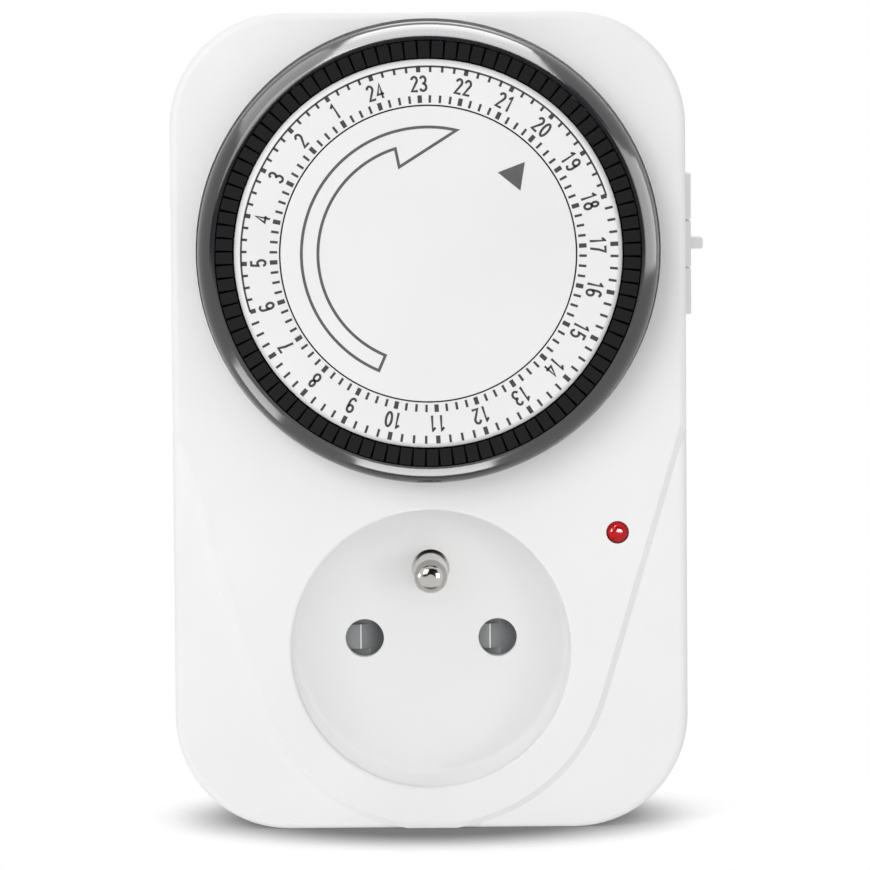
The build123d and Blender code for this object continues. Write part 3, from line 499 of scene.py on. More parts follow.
def build_finishes():
    """Every finish of the timer, by the material slot of the part."""
    return {
        # ABS with a light spark-eroded texture: soft broad highlights
        "white_shell": moulded("satin_white_abs", "#F1F1F1", 0.42, 0.28, 0.004),
        # polycarbonate socket insert: the same white, a little smoother and less glossy
        "white_socket": moulded("smooth_white_polycarbonate", "#F2F2F2", 0.38, 0.5, 0.002, specular=0.35),
        # ABS disc moulded against a polished tool so that the print holds
        "white_dial": moulded("polished_white_abs", "#EFEFEF", 0.3, 0.7, 0.0012),
        # glass-filled nylon: mid grey, dull
        "grey_shutter": moulded("glass_filled_grey_nylon", "#979899", 0.22, 0.2, 0.003, tint=0.03),
        # acetal programme segments: black, slightly waxy gloss
        "black_segments": moulded(
            "black_moulded_acetal", "#101011", 0.42, 0.3, 0.004, specular=0.25, tint=0.03
        ),
        # ABS dial wheel and switch base behind the visible parts
        "black_moulding": moulded("black_moulded_abs", "#1B1B1C", 0.4, 0.3, 0.004, tint=0.03),
        # clear styrene with smoke dye: dark, with a deep polished gloss
        "smoked_ring": tinted_clear("smoked_clear_styrene", "#19191B", 0.12, 0.35, 1.59, 6.0, specular=0.8),
        # undyed acetal gears: milky and waxy
        "natural_moulding": moulded("natural_acetal", "#E4DFD0", 0.35, 0.4, 0.003, coat=0.1),
        # acrylic lens dyed red right through
        "red_lens": tinted_clear("red_dyed_acrylic", "#C2000A", 0.08, 0.1, 1.49, 2.0, specular=0.25),
        "circuit_board": laminate_board("green_glass_epoxy"),
        # turned brass, nickel plated: bright, warm grey
        "nickel": plated("nickel_plated_brass", "#BDBBB8", 0.12, 0.25, (1.0, 0.25, 1.0), 0.0015),
        # rolled brass strip, stamped
        "brass": plated("stamped_rolled_brass", "#D9B56A", 0.28, 0.15, (1.0, 1.0, 0.1), 0.002),
        # cold-drawn spring wire and strip
        "spring_steel": plated("drawn_spring_steel", "#B9BABC", 0.26, 0.12, (1.0, 0.1, 1.0), 0.002),
        # zinc plated, clear passivated screws
        "zinc_steel": plated("bright_zinc_plated_steel", "#C9CCD2", 0.3, 0.4, (1.0, 1.0, 1.0), 0.003),
        # deep-drawn steel can
        "motor_can": plated("drawn_tin_plated_steel", "#C4C4C0", 0.34, 0.3, (0.15, 1.0, 0.15), 0.003),
    }


FINISHES = build_finishes()


# ---- Sizes and colours a user may change ----


class TimerDialSettings(bpy.types.PropertyGroup):
    """Sizes and colour of the print on the dial."""

    hour_17: FloatProperty(
        name="Hour 17",
        description="Angle of the 17 hour mark, counter-clockwise from the right, in degrees",
        default=2.7,
    )
    digit_height: FloatProperty(
        name="Digit Height", description="Height of the hour numbers", default=2.25 * MM, unit="LENGTH"
    )
    digit_width: FloatProperty(
        name="Digit Width", description="Width of a digit as a share of its height", default=0.46
    )
    digit_stroke: FloatProperty(
        name="Digit Stroke", description="Width of the digits' lines", default=0.33 * MM, unit="LENGTH"
    )
    digit_radius: FloatProperty(
        name="Digit Radius",
        description="Radius of the middle of the hour numbers",
        default=23.6 * MM,
        unit="LENGTH",
    )
    quarter_width: FloatProperty(
        name="Quarter Mark", description="Width of a quarter-hour mark", default=0.34 * MM, unit="LENGTH"
    )
    hour_width: FloatProperty(
        name="Hour Mark", description="Width of an hour mark", default=0.6 * MM, unit="LENGTH"
    )
    scale_ink: FloatVectorProperty(
        name="Scale Ink", description="Colour of the numbers and marks", subtype="COLOR", size=4,
        default=linear("#3E3E40"),
    )


class TimerArrowSettings(bpy.types.PropertyGroup):
    """Sizes and colour of the turning arrow and the time pointer on the fixed centre."""

    line_width: FloatProperty(
        name="Line Width", description="Width of the arrow's outline", default=0.4 * MM, unit="LENGTH"
    )
    outer_radius: FloatProperty(
        name="Outer Radius",
        description="Radius of the arrow's outer side",
        default=17.6 * MM,
        unit="LENGTH",
    )
    inner_radius: FloatProperty(
        name="Inner Radius",
        description="Radius of the arrow's inner side",
        default=15.3 * MM,
        unit="LENGTH",
    )
    barb_radius: FloatProperty(
        name="Barb Radius",
        description="Radius of the arrow head's inner corner",
        default=12.7 * MM,
        unit="LENGTH",
    )
    pointer_side: FloatProperty(
        name="Pointer Side",
        description="Side of the triangular time pointer",
        default=4.03 * MM,
        unit="LENGTH",
    )
    ink: FloatVectorProperty(
        name="Ink", description="Colour of the arrow and the pointer", subtype="COLOR", size=4,
        default=linear("#565658"),
    )


class TimerStageSettings(bpy.types.PropertyGroup):
    """Floor, lights and camera."""

    camera_distance: FloatProperty(
        name="Camera Distance",
        description="From the camera to the front of the timer",
        default=0.9,
        unit="LENGTH",
    )
    camera_elevation: FloatProperty(
        name="Camera Elevation",
        description="Height of the camera above the horizon",
        default=math.radians(4.35),
        subtype="ANGLE",
    )
    camera_roll: FloatProperty(
        name="Camera Roll",
        description="Turn of the camera about its own axis",
        default=math.radians(-0.43),
        subtype="ANGLE",
    )
    lens: FloatProperty(
        name="Lens", description="Focal length on a 36 mm sensor, in millimetres", default=265.5
    )
    ambient: FloatProperty(name="Ambient", description="Strength of the light from all round", default=0.64)
    floor_size: FloatProperty(
        name="Floor Size", description="Side of the floor", default=6.0, unit="LENGTH"
    )


# ---- Pieces ----


def marks_tree():
    """Geometry tree: thin bars evenly round a circle on the dial, each nth one left out."""
    tree = bpy.data.node_groups.new("dial_marks", "GeometryNodeTree")
    sockets = (
        ("Count", "NodeSocketInt"),
        ("Leave Out Every", "NodeSocketInt"),
        ("Radius", "NodeSocketFloat"),
        ("Bar", "NodeSocketVector"),
        ("Start Angle", "NodeSocketFloat"),
        ("First Bar", "NodeSocketInt"),
        ("Last Bar", "NodeSocketInt"),
        ("Centre", "NodeSocketVector"),
        ("Ink", "NodeSocketMaterial"),
    )
    for name, kind in sockets:
        tree.interface.new_socket(name=name, in_out="INPUT", socket_type=kind)
    tree.interface.new_socket(name="Geometry", in_out="OUTPUT", socket_type="NodeSocketGeometry")
    given = add(tree, "NodeGroupInput").outputs
    circle = add(
        tree, "GeometryNodeMeshCircle", links={"Vertices": given["Count"], "Radius": given["Radius"]}
    )
    bar = add(tree, "GeometryNodeMeshCube", links={"Size": given["Bar"]})
    index = add(tree, "GeometryNodeInputIndex").outputs["Index"]
    step = add(tree, "ShaderNodeMath", {"operation": "DIVIDE"}, {0: 2 * math.pi}, {1: given["Count"]})
    turn = add(tree, "ShaderNodeMath", {"operation": "MULTIPLY"}, links={0: index, 1: step.outputs[0]})
    spin = add(tree, "ShaderNodeCombineXYZ", links={"Z": turn.outputs[0]})
    rest = add(
        tree,
        "FunctionNodeIntegerMath",
        {"operation": "MODULO"},
        links={0: index, 1: given["Leave Out Every"]},
    )
    kept = add(
        tree,
        "FunctionNodeCompare",
        {"data_type": "INT", "operation": "NOT_EQUAL"},
        links={2: rest.outputs[0]},
    )
    after = add(
        tree,
        "FunctionNodeCompare",
        {"data_type": "INT", "operation": "GREATER_EQUAL"},
        links={2: index, 3: given["First Bar"]},
    )
    until = add(
        tree,
        "FunctionNodeCompare",
        {"data_type": "INT", "operation": "LESS_EQUAL"},
        links={2: index, 3: given["Last Bar"]},
    )
    both = {"operation": "AND"}
    span = add(tree, "FunctionNodeBooleanMath", both, links={0: after.outputs[0], 1: until.outputs[0]})
    chosen = add(tree, "FunctionNodeBooleanMath", both, links={0: kept.outputs[0], 1: span.outputs[0]})
    bars = add(
        tree,
        "GeometryNodeInstanceOnPoints",
        links={
            "Points": circle.outputs["Mesh"],
            "Selection": chosen.outputs[0],
            "Instance": bar.outputs["Mesh"],
            "Rotation": spin.outputs["Vector"],
        },
    )
    whole = add(tree, "GeometryNodeRealizeInstances", links={"Geometry": bars.outputs["Instances"]})
    start = add(tree, "ShaderNodeCombineXYZ", links={"Z": given["Start Angle"]})
    begun = add(
        tree,
        "GeometryNodeTransform",
        links={"Geometry": whole.outputs["Geometry"], "Rotation": start.outputs["Vector"]},
    )
    upright = add(
        tree,
        "GeometryNodeTransform",
        values={"Rotation": (math.pi / 2, 0, 0)},
        links={"Geometry": begun.outputs["Geometry"], "Translation": given["Centre"]},
    )
    inked = add(
        tree,
        "GeometryNodeSetMaterial",
        links={"Geometry": upright.outputs["Geometry"], "Material": given["Ink"]},
    )
    add(tree, "NodeGroupOutput", links={"Geometry": inked.outputs["Geometry"]})
    return tree


def marks(tree, count, leave_out, outer, inner, width, first, last, ink):
    """A plain mesh of printed marks between two radii, from one bar to another."""
    host = bpy.data.objects.new("marks", bpy.data.meshes.new("marks"))
    bpy.context.scene.collection.objects.link(host)
    modifier = host.modifiers.new("marks", "NODES")
    modifier.node_group = tree
    values = {
        "Count": count,
        "Leave Out Every": leave_out,
        "Radius": (outer + inner) / 2,
        "Bar": (outer - inner, width, INK),
        "Start Angle": math.radians(hour_angle(HOURS)),
        "First Bar": first,
        "Last Bar": last,
        "Centre": (DIAL_X, DIAL_FACE + INK / 2, DIAL_Z),
        "Ink": ink,
    }
    for item in tree.interface.items_tree:
        if item.in_out == "INPUT":
            modifier[item.identifier] = values[item.name]
    graph = bpy.context.evaluated_depsgraph_get()
    mesh = bpy.data.meshes.new_from_object(host.evaluated_get(graph))
    bpy.data.objects.remove(host)
    return mesh


class TIMER_OT_housing(bpy.types.Operator):
    """Give the housing shells, side slider and rear screws their finish"""

    bl_idname = "timer.housing"
    bl_label = "Housing"

    def execute(self, context):
        smooth_copy("front_housing", "front_shell", FINISHES["white_shell"])
        smooth_copy("rear_housing", "rear_shell", FINISHES["white_shell"])
        smooth_copy("override_slider", "side_slider", FINISHES["white_shell"])
        smooth_copy("housing_screws", "shell_screws", FINISHES["zinc_steel"])
        return {"FINISHED"}


class TIMER_OT_socket(bpy.types.Operator):
    """Give the socket recess, earth pin and shutter their finish, and paint a highlight on the shutter's
    ridges
    """

    bl_idname = "timer.socket"
    bl_label = "Socket"

    def execute(self, context):
        smooth_copy("socket_cup", "socket_recess", FINISHES["white_socket"])
        smooth_copy("earth_pin", "socket_earth_pin", FINISHES["nickel"], sharp=50.0)
        smooth_copy("shutter", "pin_hole_shutter", FINISHES["grey_shutter"])
        self.burnished_ridges()
        return {"FINISHED"}

    def burnished_ridges(self):
        """Painted highlights: pale glossy strips on the tops of the two slopes."""
        # a pale glossy finish that paints the ridges' highlight
        ridge_highlight_finish = moulded("painted_highlight_nylon", "#F4F4F4", 0.1, 0.4, 0.001)
        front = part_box("shutter")[0].y
        half = WEDGE_HEIGHT / 2
        bm = bmesh.new()
        for start in WEDGE_TOPS:
            end = start + WEDGE_TOP_WIDTH
            outline = [(start, -half), (end, -half), (end, half), (start, half)]
            slab(bm, outline, front, front + HIGHLIGHT_STRIP_DEPTH)
        put("shutter_ridge_highlights", mesh_from(bm, "shutter_ridge_highlights"), "shutter_plate", ridge_highlight_finish)


class TIMER_OT_plug(bpy.types.Operator):
    """Give the plug on the back its finish"""

    bl_idname = "timer.plug"
    bl_label = "Plug"

    def execute(self, context):
        smooth_copy("plug_pins", "plug_round_pins", FINISHES["nickel"], sharp=50.0)
        smooth_copy("earth_strap", "plug_earth_clips", FINISHES["nickel"])
        smooth_copy("earth_sleeve", "plug_earth_sleeve", FINISHES["brass"])
        return {"FINISHED"}


class TIMER_OT_mechanism(bpy.types.Operator):
    """Give every inner piece that keeps its own shape its finish"""

    bl_idname = "timer.mechanism"
    bl_label = "Mechanism"

    def execute(self, context):
        for name, node in NODES.items():
            if not node.hide_render:
                node.data.materials.clear()
                node.data.materials.append(FINISHES[SLOT_OF[name]])
        return {"FINISHED"}


class TIMER_OT_number_ring(bpy.types.Operator):
    """Build the turning ring with its hours and quarter-hour marks"""

    bl_idname = "timer.number_ring"
    bl_label = "Number Ring"

    def execute(self, context):
        settings = context.scene.timer_dial
        inner = CAP_RADIUS + RING_PLAY
        bevel = RING_BEVEL
        profile = [
            (inner, PRINT_FACE),
            (RING_RADIUS - bevel, PRINT_FACE),
            (RING_RADIUS, PRINT_FACE + bevel),
            (RING_RADIUS, RING_HIGH.y),
            (inner, RING_HIGH.y),
        ]
        bm = bmesh.new()
        turned(bm, eased(profile, DISC_EDGE))
        mesh = mesh_from(bm, "hour_ring")
        ring = put("hour_ring", mesh, "dial", FINISHES["white_dial"])
        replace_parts(ring, "number_ring")
        ink = printed_ink("black_pad_print", settings.scale_ink)
        self.quarter_marks(settings, ink)
        self.night_line(ink)
        self.numbers(settings, ink)
        return {"FINISHED"}

    def quarter_marks(self, settings, ink):
        """Two circles of marks: the inner one even, the outer one shorter over the night."""
        tree = marks_tree()
        quarters = HOURS * QUARTERS
        dawn, dusk = DAWN * QUARTERS, DUSK * QUARTERS
        thin = settings.quarter_width
        thick = settings.hour_width
        every = HOURS + 1
        rows = [
            (quarters, QUARTERS, INNER_MARKS, thin, 0, quarters),
            (HOURS, every, INNER_MARKS, thick, 0, HOURS),
            (quarters, QUARTERS, DAY_MARKS, thin, dawn, dusk),
            (HOURS, every, DAY_MARKS, thick, DAWN + 1, DUSK - 1),
            (quarters, QUARTERS, NIGHT_MARKS, thin, 0, dawn),
            (quarters, QUARTERS, NIGHT_MARKS, thin, dusk, quarters),
            (HOURS, every, NIGHT_MARKS, thick, 1, DAWN),
            (HOURS, every, NIGHT_MARKS, thick, DUSK, HOURS),
        ]
        bm = bmesh.new()
        for count, leave_out, (outer, near), width, first, last in rows:
            bm.from_mesh(marks(tree, count, leave_out, outer, near, width, first, last, ink))
        slab(bm, self.midnight_mark(INNER_MARKS, thick), DIAL_FACE, PRINT_FACE)
        slab(bm, self.midnight_mark(NIGHT_MARKS, thick), DIAL_FACE, PRINT_FACE)
        put("quarter_marks", mesh_from(bm, "quarter_marks"), "dial", ink)

    def midnight_mark(self, radii, width):
        """Outline of the mark at 24, which the count leaves out."""
        outer, inner = radii
        angle = hour_angle(HOURS)
        return [
            on_dial(angle, radius, side * width / 2)
            for radius, side in ((inner, -1), (outer, -1), (outer, 1), (inner, 1))
        ]

    def night_line(self, ink):
        """The line that joins the marks from dusk over midnight to dawn."""
        start, end = hour_angle(DUSK), hour_angle(HOURS + DAWN)
        steps = 90
        angles = [start + (end - start) * k / steps for k in range(steps + 1)]
        outer, inner = ([on_dial(angle, radius) for angle in angles] for radius in NIGHT_LINE)
        bm = bmesh.new()
        strip(bm, outer, inner, DIAL_FACE, PRINT_FACE, False)
        put("night_line", mesh_from(bm, "night_line"), "dial", ink)

    def numbers(self, settings, ink):
        """The hours 1 to 24, tops outward."""
        bm = bmesh.new()
        height = settings.digit_height
        width = settings.digit_width * height
        step = width * 1.2
        for hour in range(1, HOURS + 1):
            digits = str(hour)
            start = -(step * (len(digits) - 1) + width) / 2
            for place, digit in enumerate(digits):
                left = start + place * step
                for line, closed in digit_lines(digit):
                    points = [
                        on_dial(
                            hour_angle(hour),
                            settings.digit_radius + (rise - 0.5) * height,
                            -(left + reach * 2 * width),
                        )
                        for reach, rise in line
                    ]
                    outlined(bm, points, settings.digit_stroke, DIAL_FACE, PRINT_FACE, closed, 1.5)
        put("hour_numbers", mesh_from(bm, "hour_numbers"), "dial", ink)


class TIMER_OT_centre(bpy.types.Operator):
    """Build the fixed centre with its turning arrow and time pointer"""

    bl_idname = "timer.centre"
    bl_label = "Fixed Centre"

    def execute(self, context):
        settings = context.scene.timer_arrow
        back = RING_HIGH.y
        boss = CAP_HIGH.y
        outer_boss = POST_RADIUS + BOSS_WALL
        profile = [
            (0.0, PRINT_FACE),
            (CAP_RADIUS, PRINT_FACE),
            (CAP_RADIUS, back),
            (outer_boss, back),
            (outer_boss, boss),
            (POST_RADIUS, boss),
            (POST_RADIUS, back),
            (0.0, back),
        ]
        bm = bmesh.new()
        turned(bm, eased(profile, DISC_EDGE))
        mesh = mesh_from(bm, "centre_disc")
        cap = put("centre_disc", mesh, "housing", FINISHES["white_dial"])
        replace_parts(cap, "centre_cap")
        ink = printed_ink("grey_pad_print", settings.ink)
        bm = bmesh.new()
        outlined(bm, self.arrow(settings), settings.line_width, DIAL_FACE, PRINT_FACE)
        put("turning_arrow", mesh_from(bm, "turning_arrow"), "housing", ink)
        bm = bmesh.new()
        slab(bm, self.pointer(settings), DIAL_FACE, PRINT_FACE)
        put("time_pointer", mesh_from(bm, "time_pointer"), "housing", ink)
        return {"FINISHED"}

    def arrow(self, settings):
        """The arrow's outline: out along its outer side to the tip, back by the barb and its inner side."""
        tail, neck, tip, barb = 246.7, 106.9, 76.7, 108.0
        step = 2.0
        outer_steps = round((tail - tip) / step)
        inner_steps = round((tail - neck) / step)
        points = [
            on_dial(tail + (tip - tail) * k / outer_steps, settings.outer_radius)
            for k in range(outer_steps + 1)
        ]
        points.append(on_dial(barb, settings.barb_radius))
        points += [
            on_dial(neck + (tail - neck) * k / inner_steps, settings.inner_radius)
            for k in range(inner_steps + 1)
        ]
        return points

    def pointer(self, settings):
        """The time pointer's three corners."""
        x, z = on_dial(POINTER_ANGLE, POINTER_RADIUS)
        reach = settings.pointer_side / math.sqrt(3)
        corners = [math.radians(POINTER_TURN + 120 * k) for k in range(3)]
        return [(x + reach * math.cos(turn), z + reach * math.sin(turn)) for turn in corners]


class TIMER_OT_guard_ring(bpy.types.Operator):
    """Give the smoked ring round the segments its finish"""

    bl_idname = "timer.guard_ring"
    bl_label = "Guard Ring"

    def execute(self, context):
        smooth_copy("guard_ring", "smoked_guard_ring", FINISHES["smoked_ring"], sharp=35.0)
        return {"FINISHED"}


class TIMER_OT_lamp(bpy.types.Operator):
    """Give the indicator lamp its finish"""

    bl_idname = "timer.lamp"
    bl_label = "Indicator Lamp"

    def execute(self, context):
        smooth_copy("lamp", "indicator_lens", FINISHES["red_lens"], sharp=50.0)
        return {"FINISHED"}


class TIMER_OT_stage(bpy.types.Operator):
    """Build the pale floor, the studio lights and the camera"""

    bl_idname = "timer.stage"
    bl_label = "Stage"

    def execute(self, context):
        settings = context.scene.timer_stage
        self.floor(settings)
        self.world(settings)
        aim = Vector((0.0, FRONT_Y, 30 * MM))
        # softboxes that light everything: place, size, radiance as a multiple of white
        key = self.light("key_softbox", (-0.42, -0.82, 0.42), aim, (0.5, 0.5), 3.0, ["socket_recess"])
        key.light_linking.receiver_collection.collection_objects[0].light_linking.link_state = "EXCLUDE"
        self.light("right_softbox", (0.52, -0.74, 0.12), aim, (0.4, 0.4), 0.15)
        self.light("top_softbox", (0.0, 0.06, 0.66), aim, (0.5, 0.3), 1.0)
        self.light("back_softbox", (0.2, 0.8, 0.5), aim, (0.7, 0.5), 1.2)
        # a broad even fill that shows in no polished surface
        fill = self.light("front_fill", (-0.14, -1.05, 0.1), aim, (0.9, 0.7), 1.02)
        fill.visible_glossy = False
        # in place of the key the recess has a light from the right, and fills that its rim does not shade
        self.light("recess_softbox", (0.33, -0.78, 0.03), aim, (0.16, 0.16), 6.5, ["socket_recess"])
        for place, radiance in (
            ((0.78, -0.2, 0.03), 2.6),
            ((-0.78, -0.2, 0.03), 4.5),
            ((0.0, -0.2, 0.8), 4.8),
        ):
            self.even_light("recess_fill", place, aim, (0.3, 0.3), radiance, ["socket_recess"])
        # light thrown back up by the paper under the timer
        shells = ["front_shell", "rear_shell"]
        self.even_light("paper_bounce", (0.0, -0.1, -0.5), aim, (0.3, 0.3), 1.6, shells)
        # small softboxes that only the polished small pieces mirror
        glints = ["socket_earth_pin", "pin_hole_shutter", "shutter_ridge_highlights"]
        for place, size, radiance in (
            ((-0.03, -0.1, 0.7), (0.2, 0.14), 24.0),
            ((-0.7, -0.22, 0.06), (0.14, 0.14), 24.0),
            ((0.36, -0.52, 0.04), (0.24, 0.18), 24.0),
        ):
            self.light("glint_softbox", place, aim, size, radiance, glints).visible_diffuse = False
        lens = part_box("lamp")[0]
        for place, size, radiance in (
            ((-0.23, -0.14, 0.54), (0.3, 0.3), 40.0),
            ((-0.49, -0.32, 0.15), (0.24, 0.24), 36.0),
            ((0.16, -0.58, 0.02), (0.34, 0.26), 44.0),
        ):
            where = lens + Vector(place)
            glint = self.light("lamp_softbox", where, lens, size, radiance, ["indicator_lens"])
            glint.visible_diffuse = False
        # cards for the polished guard ring alone: azimuth and width seen from the front, radiance
        for azimuth, spread, radiance in ((86, 56, 7.4), (132, 34, 2.2), (6, 36, 3.2)):
            self.ring_card(azimuth, spread, radiance)
        for place, size, radiance in (
            ((-0.002, -0.125), (0.05, 0.12), 7.4),
            ((-0.1, -0.12), (0.06, 0.14), 4.6),
        ):
            where = Vector((*place, FLOOR_Z + 2 * MM))
            up = where + Vector((0, 0, 1))
            self.light("floor_card", where, up, size, radiance, ["smoked_guard_ring"])
        self.dark_card()
        self.camera(settings)
        context.scene.view_settings.view_transform = "Standard"
        return {"FINISHED"}

    def floor(self, settings):
        """A white floor that takes the timer's shadow near it, darkened further by a painted shadow round
        its foot, and fades into the white beyond.
        """
        half = settings.floor_size / 2
        bm = bmesh.new()
        bmesh.ops.create_grid(bm, x_segments=8, y_segments=8, size=half)
        bmesh.ops.translate(bm, verts=bm.verts, vec=(0, 0, FLOOR_Z))
        mesh = bpy.data.meshes.new("floor")
        bm.to_mesh(mesh)
        bm.free()
        floor = bpy.data.objects.new("floor", mesh)
        bpy.context.scene.collection.objects.link(floor)
        material, tree, output = new_material("white_studio_paper")
        seen = self.seen_directly(tree)
        place = add(tree, "ShaderNodeTexCoord").outputs["Object"]
        far = self.oval(tree, place, (0, FRONT_Y), (58 * MM, 58 * MM), (0.5, 1.0), (0.0, 1.0))
        white = add(tree, "ShaderNodeMath", {"operation": "MULTIPLY"}, links={0: far, 1: seen})
        # a painted contact shadow: the paper is darker in an oval round the timer's foot, only where it is
        # looked at; light bounces off plain paper
        middle = (0, (FRONT_Y + BACK_Y) / 2)
        painted_shadow_mask = self.oval(tree, place, middle, (27 * MM, 27 * MM), (0.85, 1.6), (0.2, 1.0))
        painted_shadow_openness = add(tree, "ShaderNodeMix", {"data_type": "FLOAT"}, {2: 1.0}, {0: seen, 3: painted_shadow_mask})
        shade = add(
            tree,
            "ShaderNodeMix",
            {"data_type": "RGBA"},
            {6: linear("#000000"), 7: linear("#F6F6F6")},
            {0: painted_shadow_openness.outputs[0]},
        )
        paper = add(tree, "ShaderNodeBsdfDiffuse", links={"Color": shade.outputs[2]})
        glow = add(tree, "ShaderNodeEmission", values={"Color": (1, 1, 1, 1), "Strength": 1.0})
        # a painted glow that lifts the paper where it is looked at, weaker in the painted shadow
        gain = add(tree, "ShaderNodeMath", {"operation": "MULTIPLY"}, {1: 0.24}, {0: painted_shadow_mask})
        lift = add(tree, "ShaderNodeMath", {"operation": "MULTIPLY"}, links={0: gain.outputs[0], 1: seen})
        painted_glow = add(
            tree,
            "ShaderNodeEmission",
            values={"Color": (1, 1, 1, 1)},
            links={"Strength": lift.outputs[0]},
        )
        near = add(
            tree, "ShaderNodeAddShader", links={0: paper.outputs["BSDF"], 1: painted_glow.outputs["Emission"]}
        )
        both = add(
            tree,
            "ShaderNodeMixShader",
            links={0: white.outputs[0], 1: near.outputs["Shader"], 2: glow.outputs["Emission"]},
        )
        tree.links.new(both.outputs["Shader"], output.inputs["Surface"])
        mesh.materials.append(material)

    def oval(self, tree, place, centre, radii, distances, values):
        """A value that changes smoothly from one to another with the distance from an oval on the floor."""
        spread = add(
            tree,
            "ShaderNodeMapping",
            {"vector_type": "TEXTURE"},
            {"Location": (*centre, FLOOR_Z), "Scale": (*radii, 1)},
            {"Vector": place},
        )
        away = add(tree, "ShaderNodeVectorMath", {"operation": "LENGTH"}, {}, {0: spread.outputs["Vector"]})
        eased_step = add(
            tree,
            "ShaderNodeMapRange",
            {"interpolation_type": "SMOOTHSTEP"},
            {"From Min": distances[0], "From Max": distances[1], "To Min": values[0], "To Max": values[1]},
            {"Value": away.outputs["Value"]},
        )
        return eased_step.outputs["Result"]

    def seen_directly(self, tree):
        """One for rays from the camera, off gloss and through glass, else zero."""
        path = add(tree, "ShaderNodeLightPath").outputs
        first = add(
            tree,
            "ShaderNodeMath",
            {"operation": "ADD", "use_clamp": True},
            links={0: path["Is Camera Ray"], 1: path["Is Glossy Ray"]},
        )
        both = add(
            tree,
            "ShaderNodeMath",
            {"operation": "ADD", "use_clamp": True},
            links={0: first.outputs[0], 1: path["Is Transmission Ray"]},
        )
        return both.outputs[0]

    def world(self, settings):
        """Plain white to look at, and a soft even light."""
        world = bpy.data.worlds.new("studio")
        bpy.context.scene.world = world
        world.use_nodes = True
        tree = world.node_tree
        tree.nodes.clear()
        seen = self.seen_directly(tree)
        strength = add(
            tree,
            "ShaderNodeMix",
            {"data_type": "FLOAT"},
            {2: settings.ambient, 3: 1.0},
            {0: seen},
        )
        back = add(
            tree,
            "ShaderNodeBackground",
            values={"Color": (1, 1, 1, 1)},
            links={"Strength": strength.outputs[0]},
        )
        add(tree, "ShaderNodeOutputWorld", links={"Surface": back.outputs["Background"]})

    def light(self, name, place, aim, size, radiance, receivers=()):
        """A rectangular softbox that points at a place; it lights everything, or only the named pieces."""
        lamp = bpy.data.lights.new(name, "AREA")
        lamp.shape = "RECTANGLE"
        lamp.size, lamp.size_y = size
        lamp.energy = radiance * math.pi * size[0] * size[1]
        holder = bpy.data.objects.new(name, lamp)
        holder.location = place
        holder.rotation_mode = "QUATERNION"
        holder.rotation_quaternion = (aim - Vector(place)).to_track_quat("-Z", "Y")
        holder.visible_camera = False
        bpy.context.scene.collection.objects.link(holder)
        if receivers:
            lit = bpy.data.collections.new(name)
            for piece in receivers:
                lit.objects.link(bpy.data.objects[piece])
            holder.light_linking.receiver_collection = lit
        return holder

    def even_light(self, *about):
        """A softbox without shadows or highlights for the named pieces."""
        lamp = self.light(*about)
        lamp.data.use_shadow = False
        lamp.visible_glossy = False

    def ring_card(self, azimuth, spread, radiance):
        """A long card that stands round the dial at an azimuth and bends the view of it into one band."""
        reach, length = 0.6, 1.2
        turn, lean = math.radians(azimuth), math.radians(75)
        across = Vector((math.cos(turn), 0, math.sin(turn)))
        back = across * math.sin(lean) - Vector((0, math.cos(lean), 0))
        along = across * math.cos(lean) + Vector((0, math.sin(lean), 0))
        centre = Vector((DIAL_X, DIAL_FACE, DIAL_Z))
        width = 2 * reach * math.tan(math.radians(spread / 2))
        card = self.light(
            "ring_card", centre + back * reach, centre, (width, length), radiance, ["smoked_guard_ring"]
        )
        side = along.cross(back)
        card.rotation_quaternion = Matrix((side, along, back)).transposed().to_quaternion()

    def dark_card(self):
        """A dark card behind the camera, which polished surfaces that face it reflect."""
        bm = bmesh.new()
        slab(bm, [(-1.1, -0.3), (1.1, -0.3), (1.1, 1.2), (-1.1, 1.2)], -1.16, -1.15)
        mesh = mesh_from(bm, "camera_card")
        card = bpy.data.objects.new("camera_card", mesh)
        bpy.context.scene.collection.objects.link(card)
        material, tree, output = new_material("black_felt")
        felt = add(tree, "ShaderNodeBsdfDiffuse", values={"Color": linear("#202020")})
        tree.links.new(felt.outputs["BSDF"], output.inputs["Surface"])
        mesh.materials.append(material)
        card.visible_camera = False
        card.visible_diffuse = False
        card.visible_shadow = False

    def camera(self, settings):
        """A long lens from slightly above the middle."""
        lens = bpy.data.cameras.new("camera")
        lens.lens = settings.lens
        lens.sensor_width = 36
        lens.clip_start, lens.clip_end = 0.05, 50
        camera = bpy.data.objects.new("camera", lens)
        bpy.context.scene.collection.objects.link(camera)
        aim = Vector((0.76 * MM, FRONT_Y, 30.2 * MM))
        rise = settings.camera_elevation
        back = Vector((0, -math.cos(rise), math.sin(rise)))
        camera.location = aim + back * settings.camera_distance
        camera.rotation_mode = "QUATERNION"
        turn = Quaternion((0, 0, 1), settings.camera_roll)
        camera.rotation_quaternion = (-back).to_track_quat("-Z", "Y") @ turn
        bpy.context.scene.camera = camera


OPERATORS = (
    TIMER_OT_housing,
    TIMER_OT_socket,
    TIMER_OT_plug,
    TIMER_OT_number_ring,
    TIMER_OT_centre,
    TIMER_OT_guard_ring,
    TIMER_OT_lamp,
    TIMER_OT_mechanism,
    TIMER_OT_stage,
)


class TIMER_PT_panel(bpy.types.Panel):
    """Settings of the print and the studio, and the steps that build the timer's look"""

    bl_idname = "TIMER_PT_panel"
    bl_label = "Plug-in Timer"
    bl_space_type = "VIEW_3D"
    bl_region_type = "UI"
    bl_category = "Timer"

    def draw(self, context):
        for group in (context.scene.timer_dial, context.scene.timer_arrow, context.scene.timer_stage):
            box = self.layout.box()
            for name in group.__annotations__:
                box.prop(group, name)
        for operator in OPERATORS:
            self.layout.operator(operator.bl_idname)


CLASSES = (TimerDialSettings, TimerArrowSettings, TimerStageSettings) + OPERATORS + (TIMER_PT_panel,)


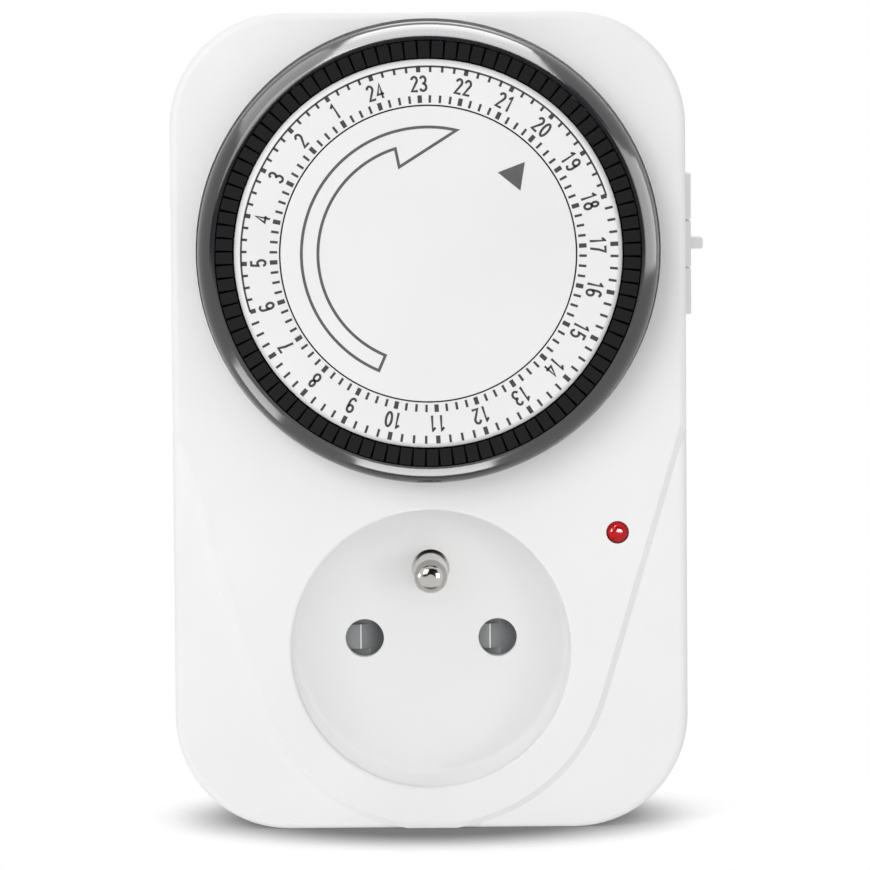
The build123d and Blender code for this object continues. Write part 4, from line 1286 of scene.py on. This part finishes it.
def register():
    for cls in CLASSES:
        bpy.utils.register_class(cls)
    bpy.types.Scene.timer_dial = PointerProperty(type=TimerDialSettings)
    bpy.types.Scene.timer_arrow = PointerProperty(type=TimerArrowSettings)
    bpy.types.Scene.timer_stage = PointerProperty(type=TimerStageSettings)


def unregister():
    del bpy.types.Scene.timer_stage
    del bpy.types.Scene.timer_arrow
    del bpy.types.Scene.timer_dial
    for cls in reversed(CLASSES):
        bpy.utils.unregister_class(cls)


def main():
    register()
    for operator in OPERATORS:
        area, name = operator.bl_idname.split(".")
        getattr(getattr(bpy.ops, area), name)()


if __name__ == "__main__":
    main()
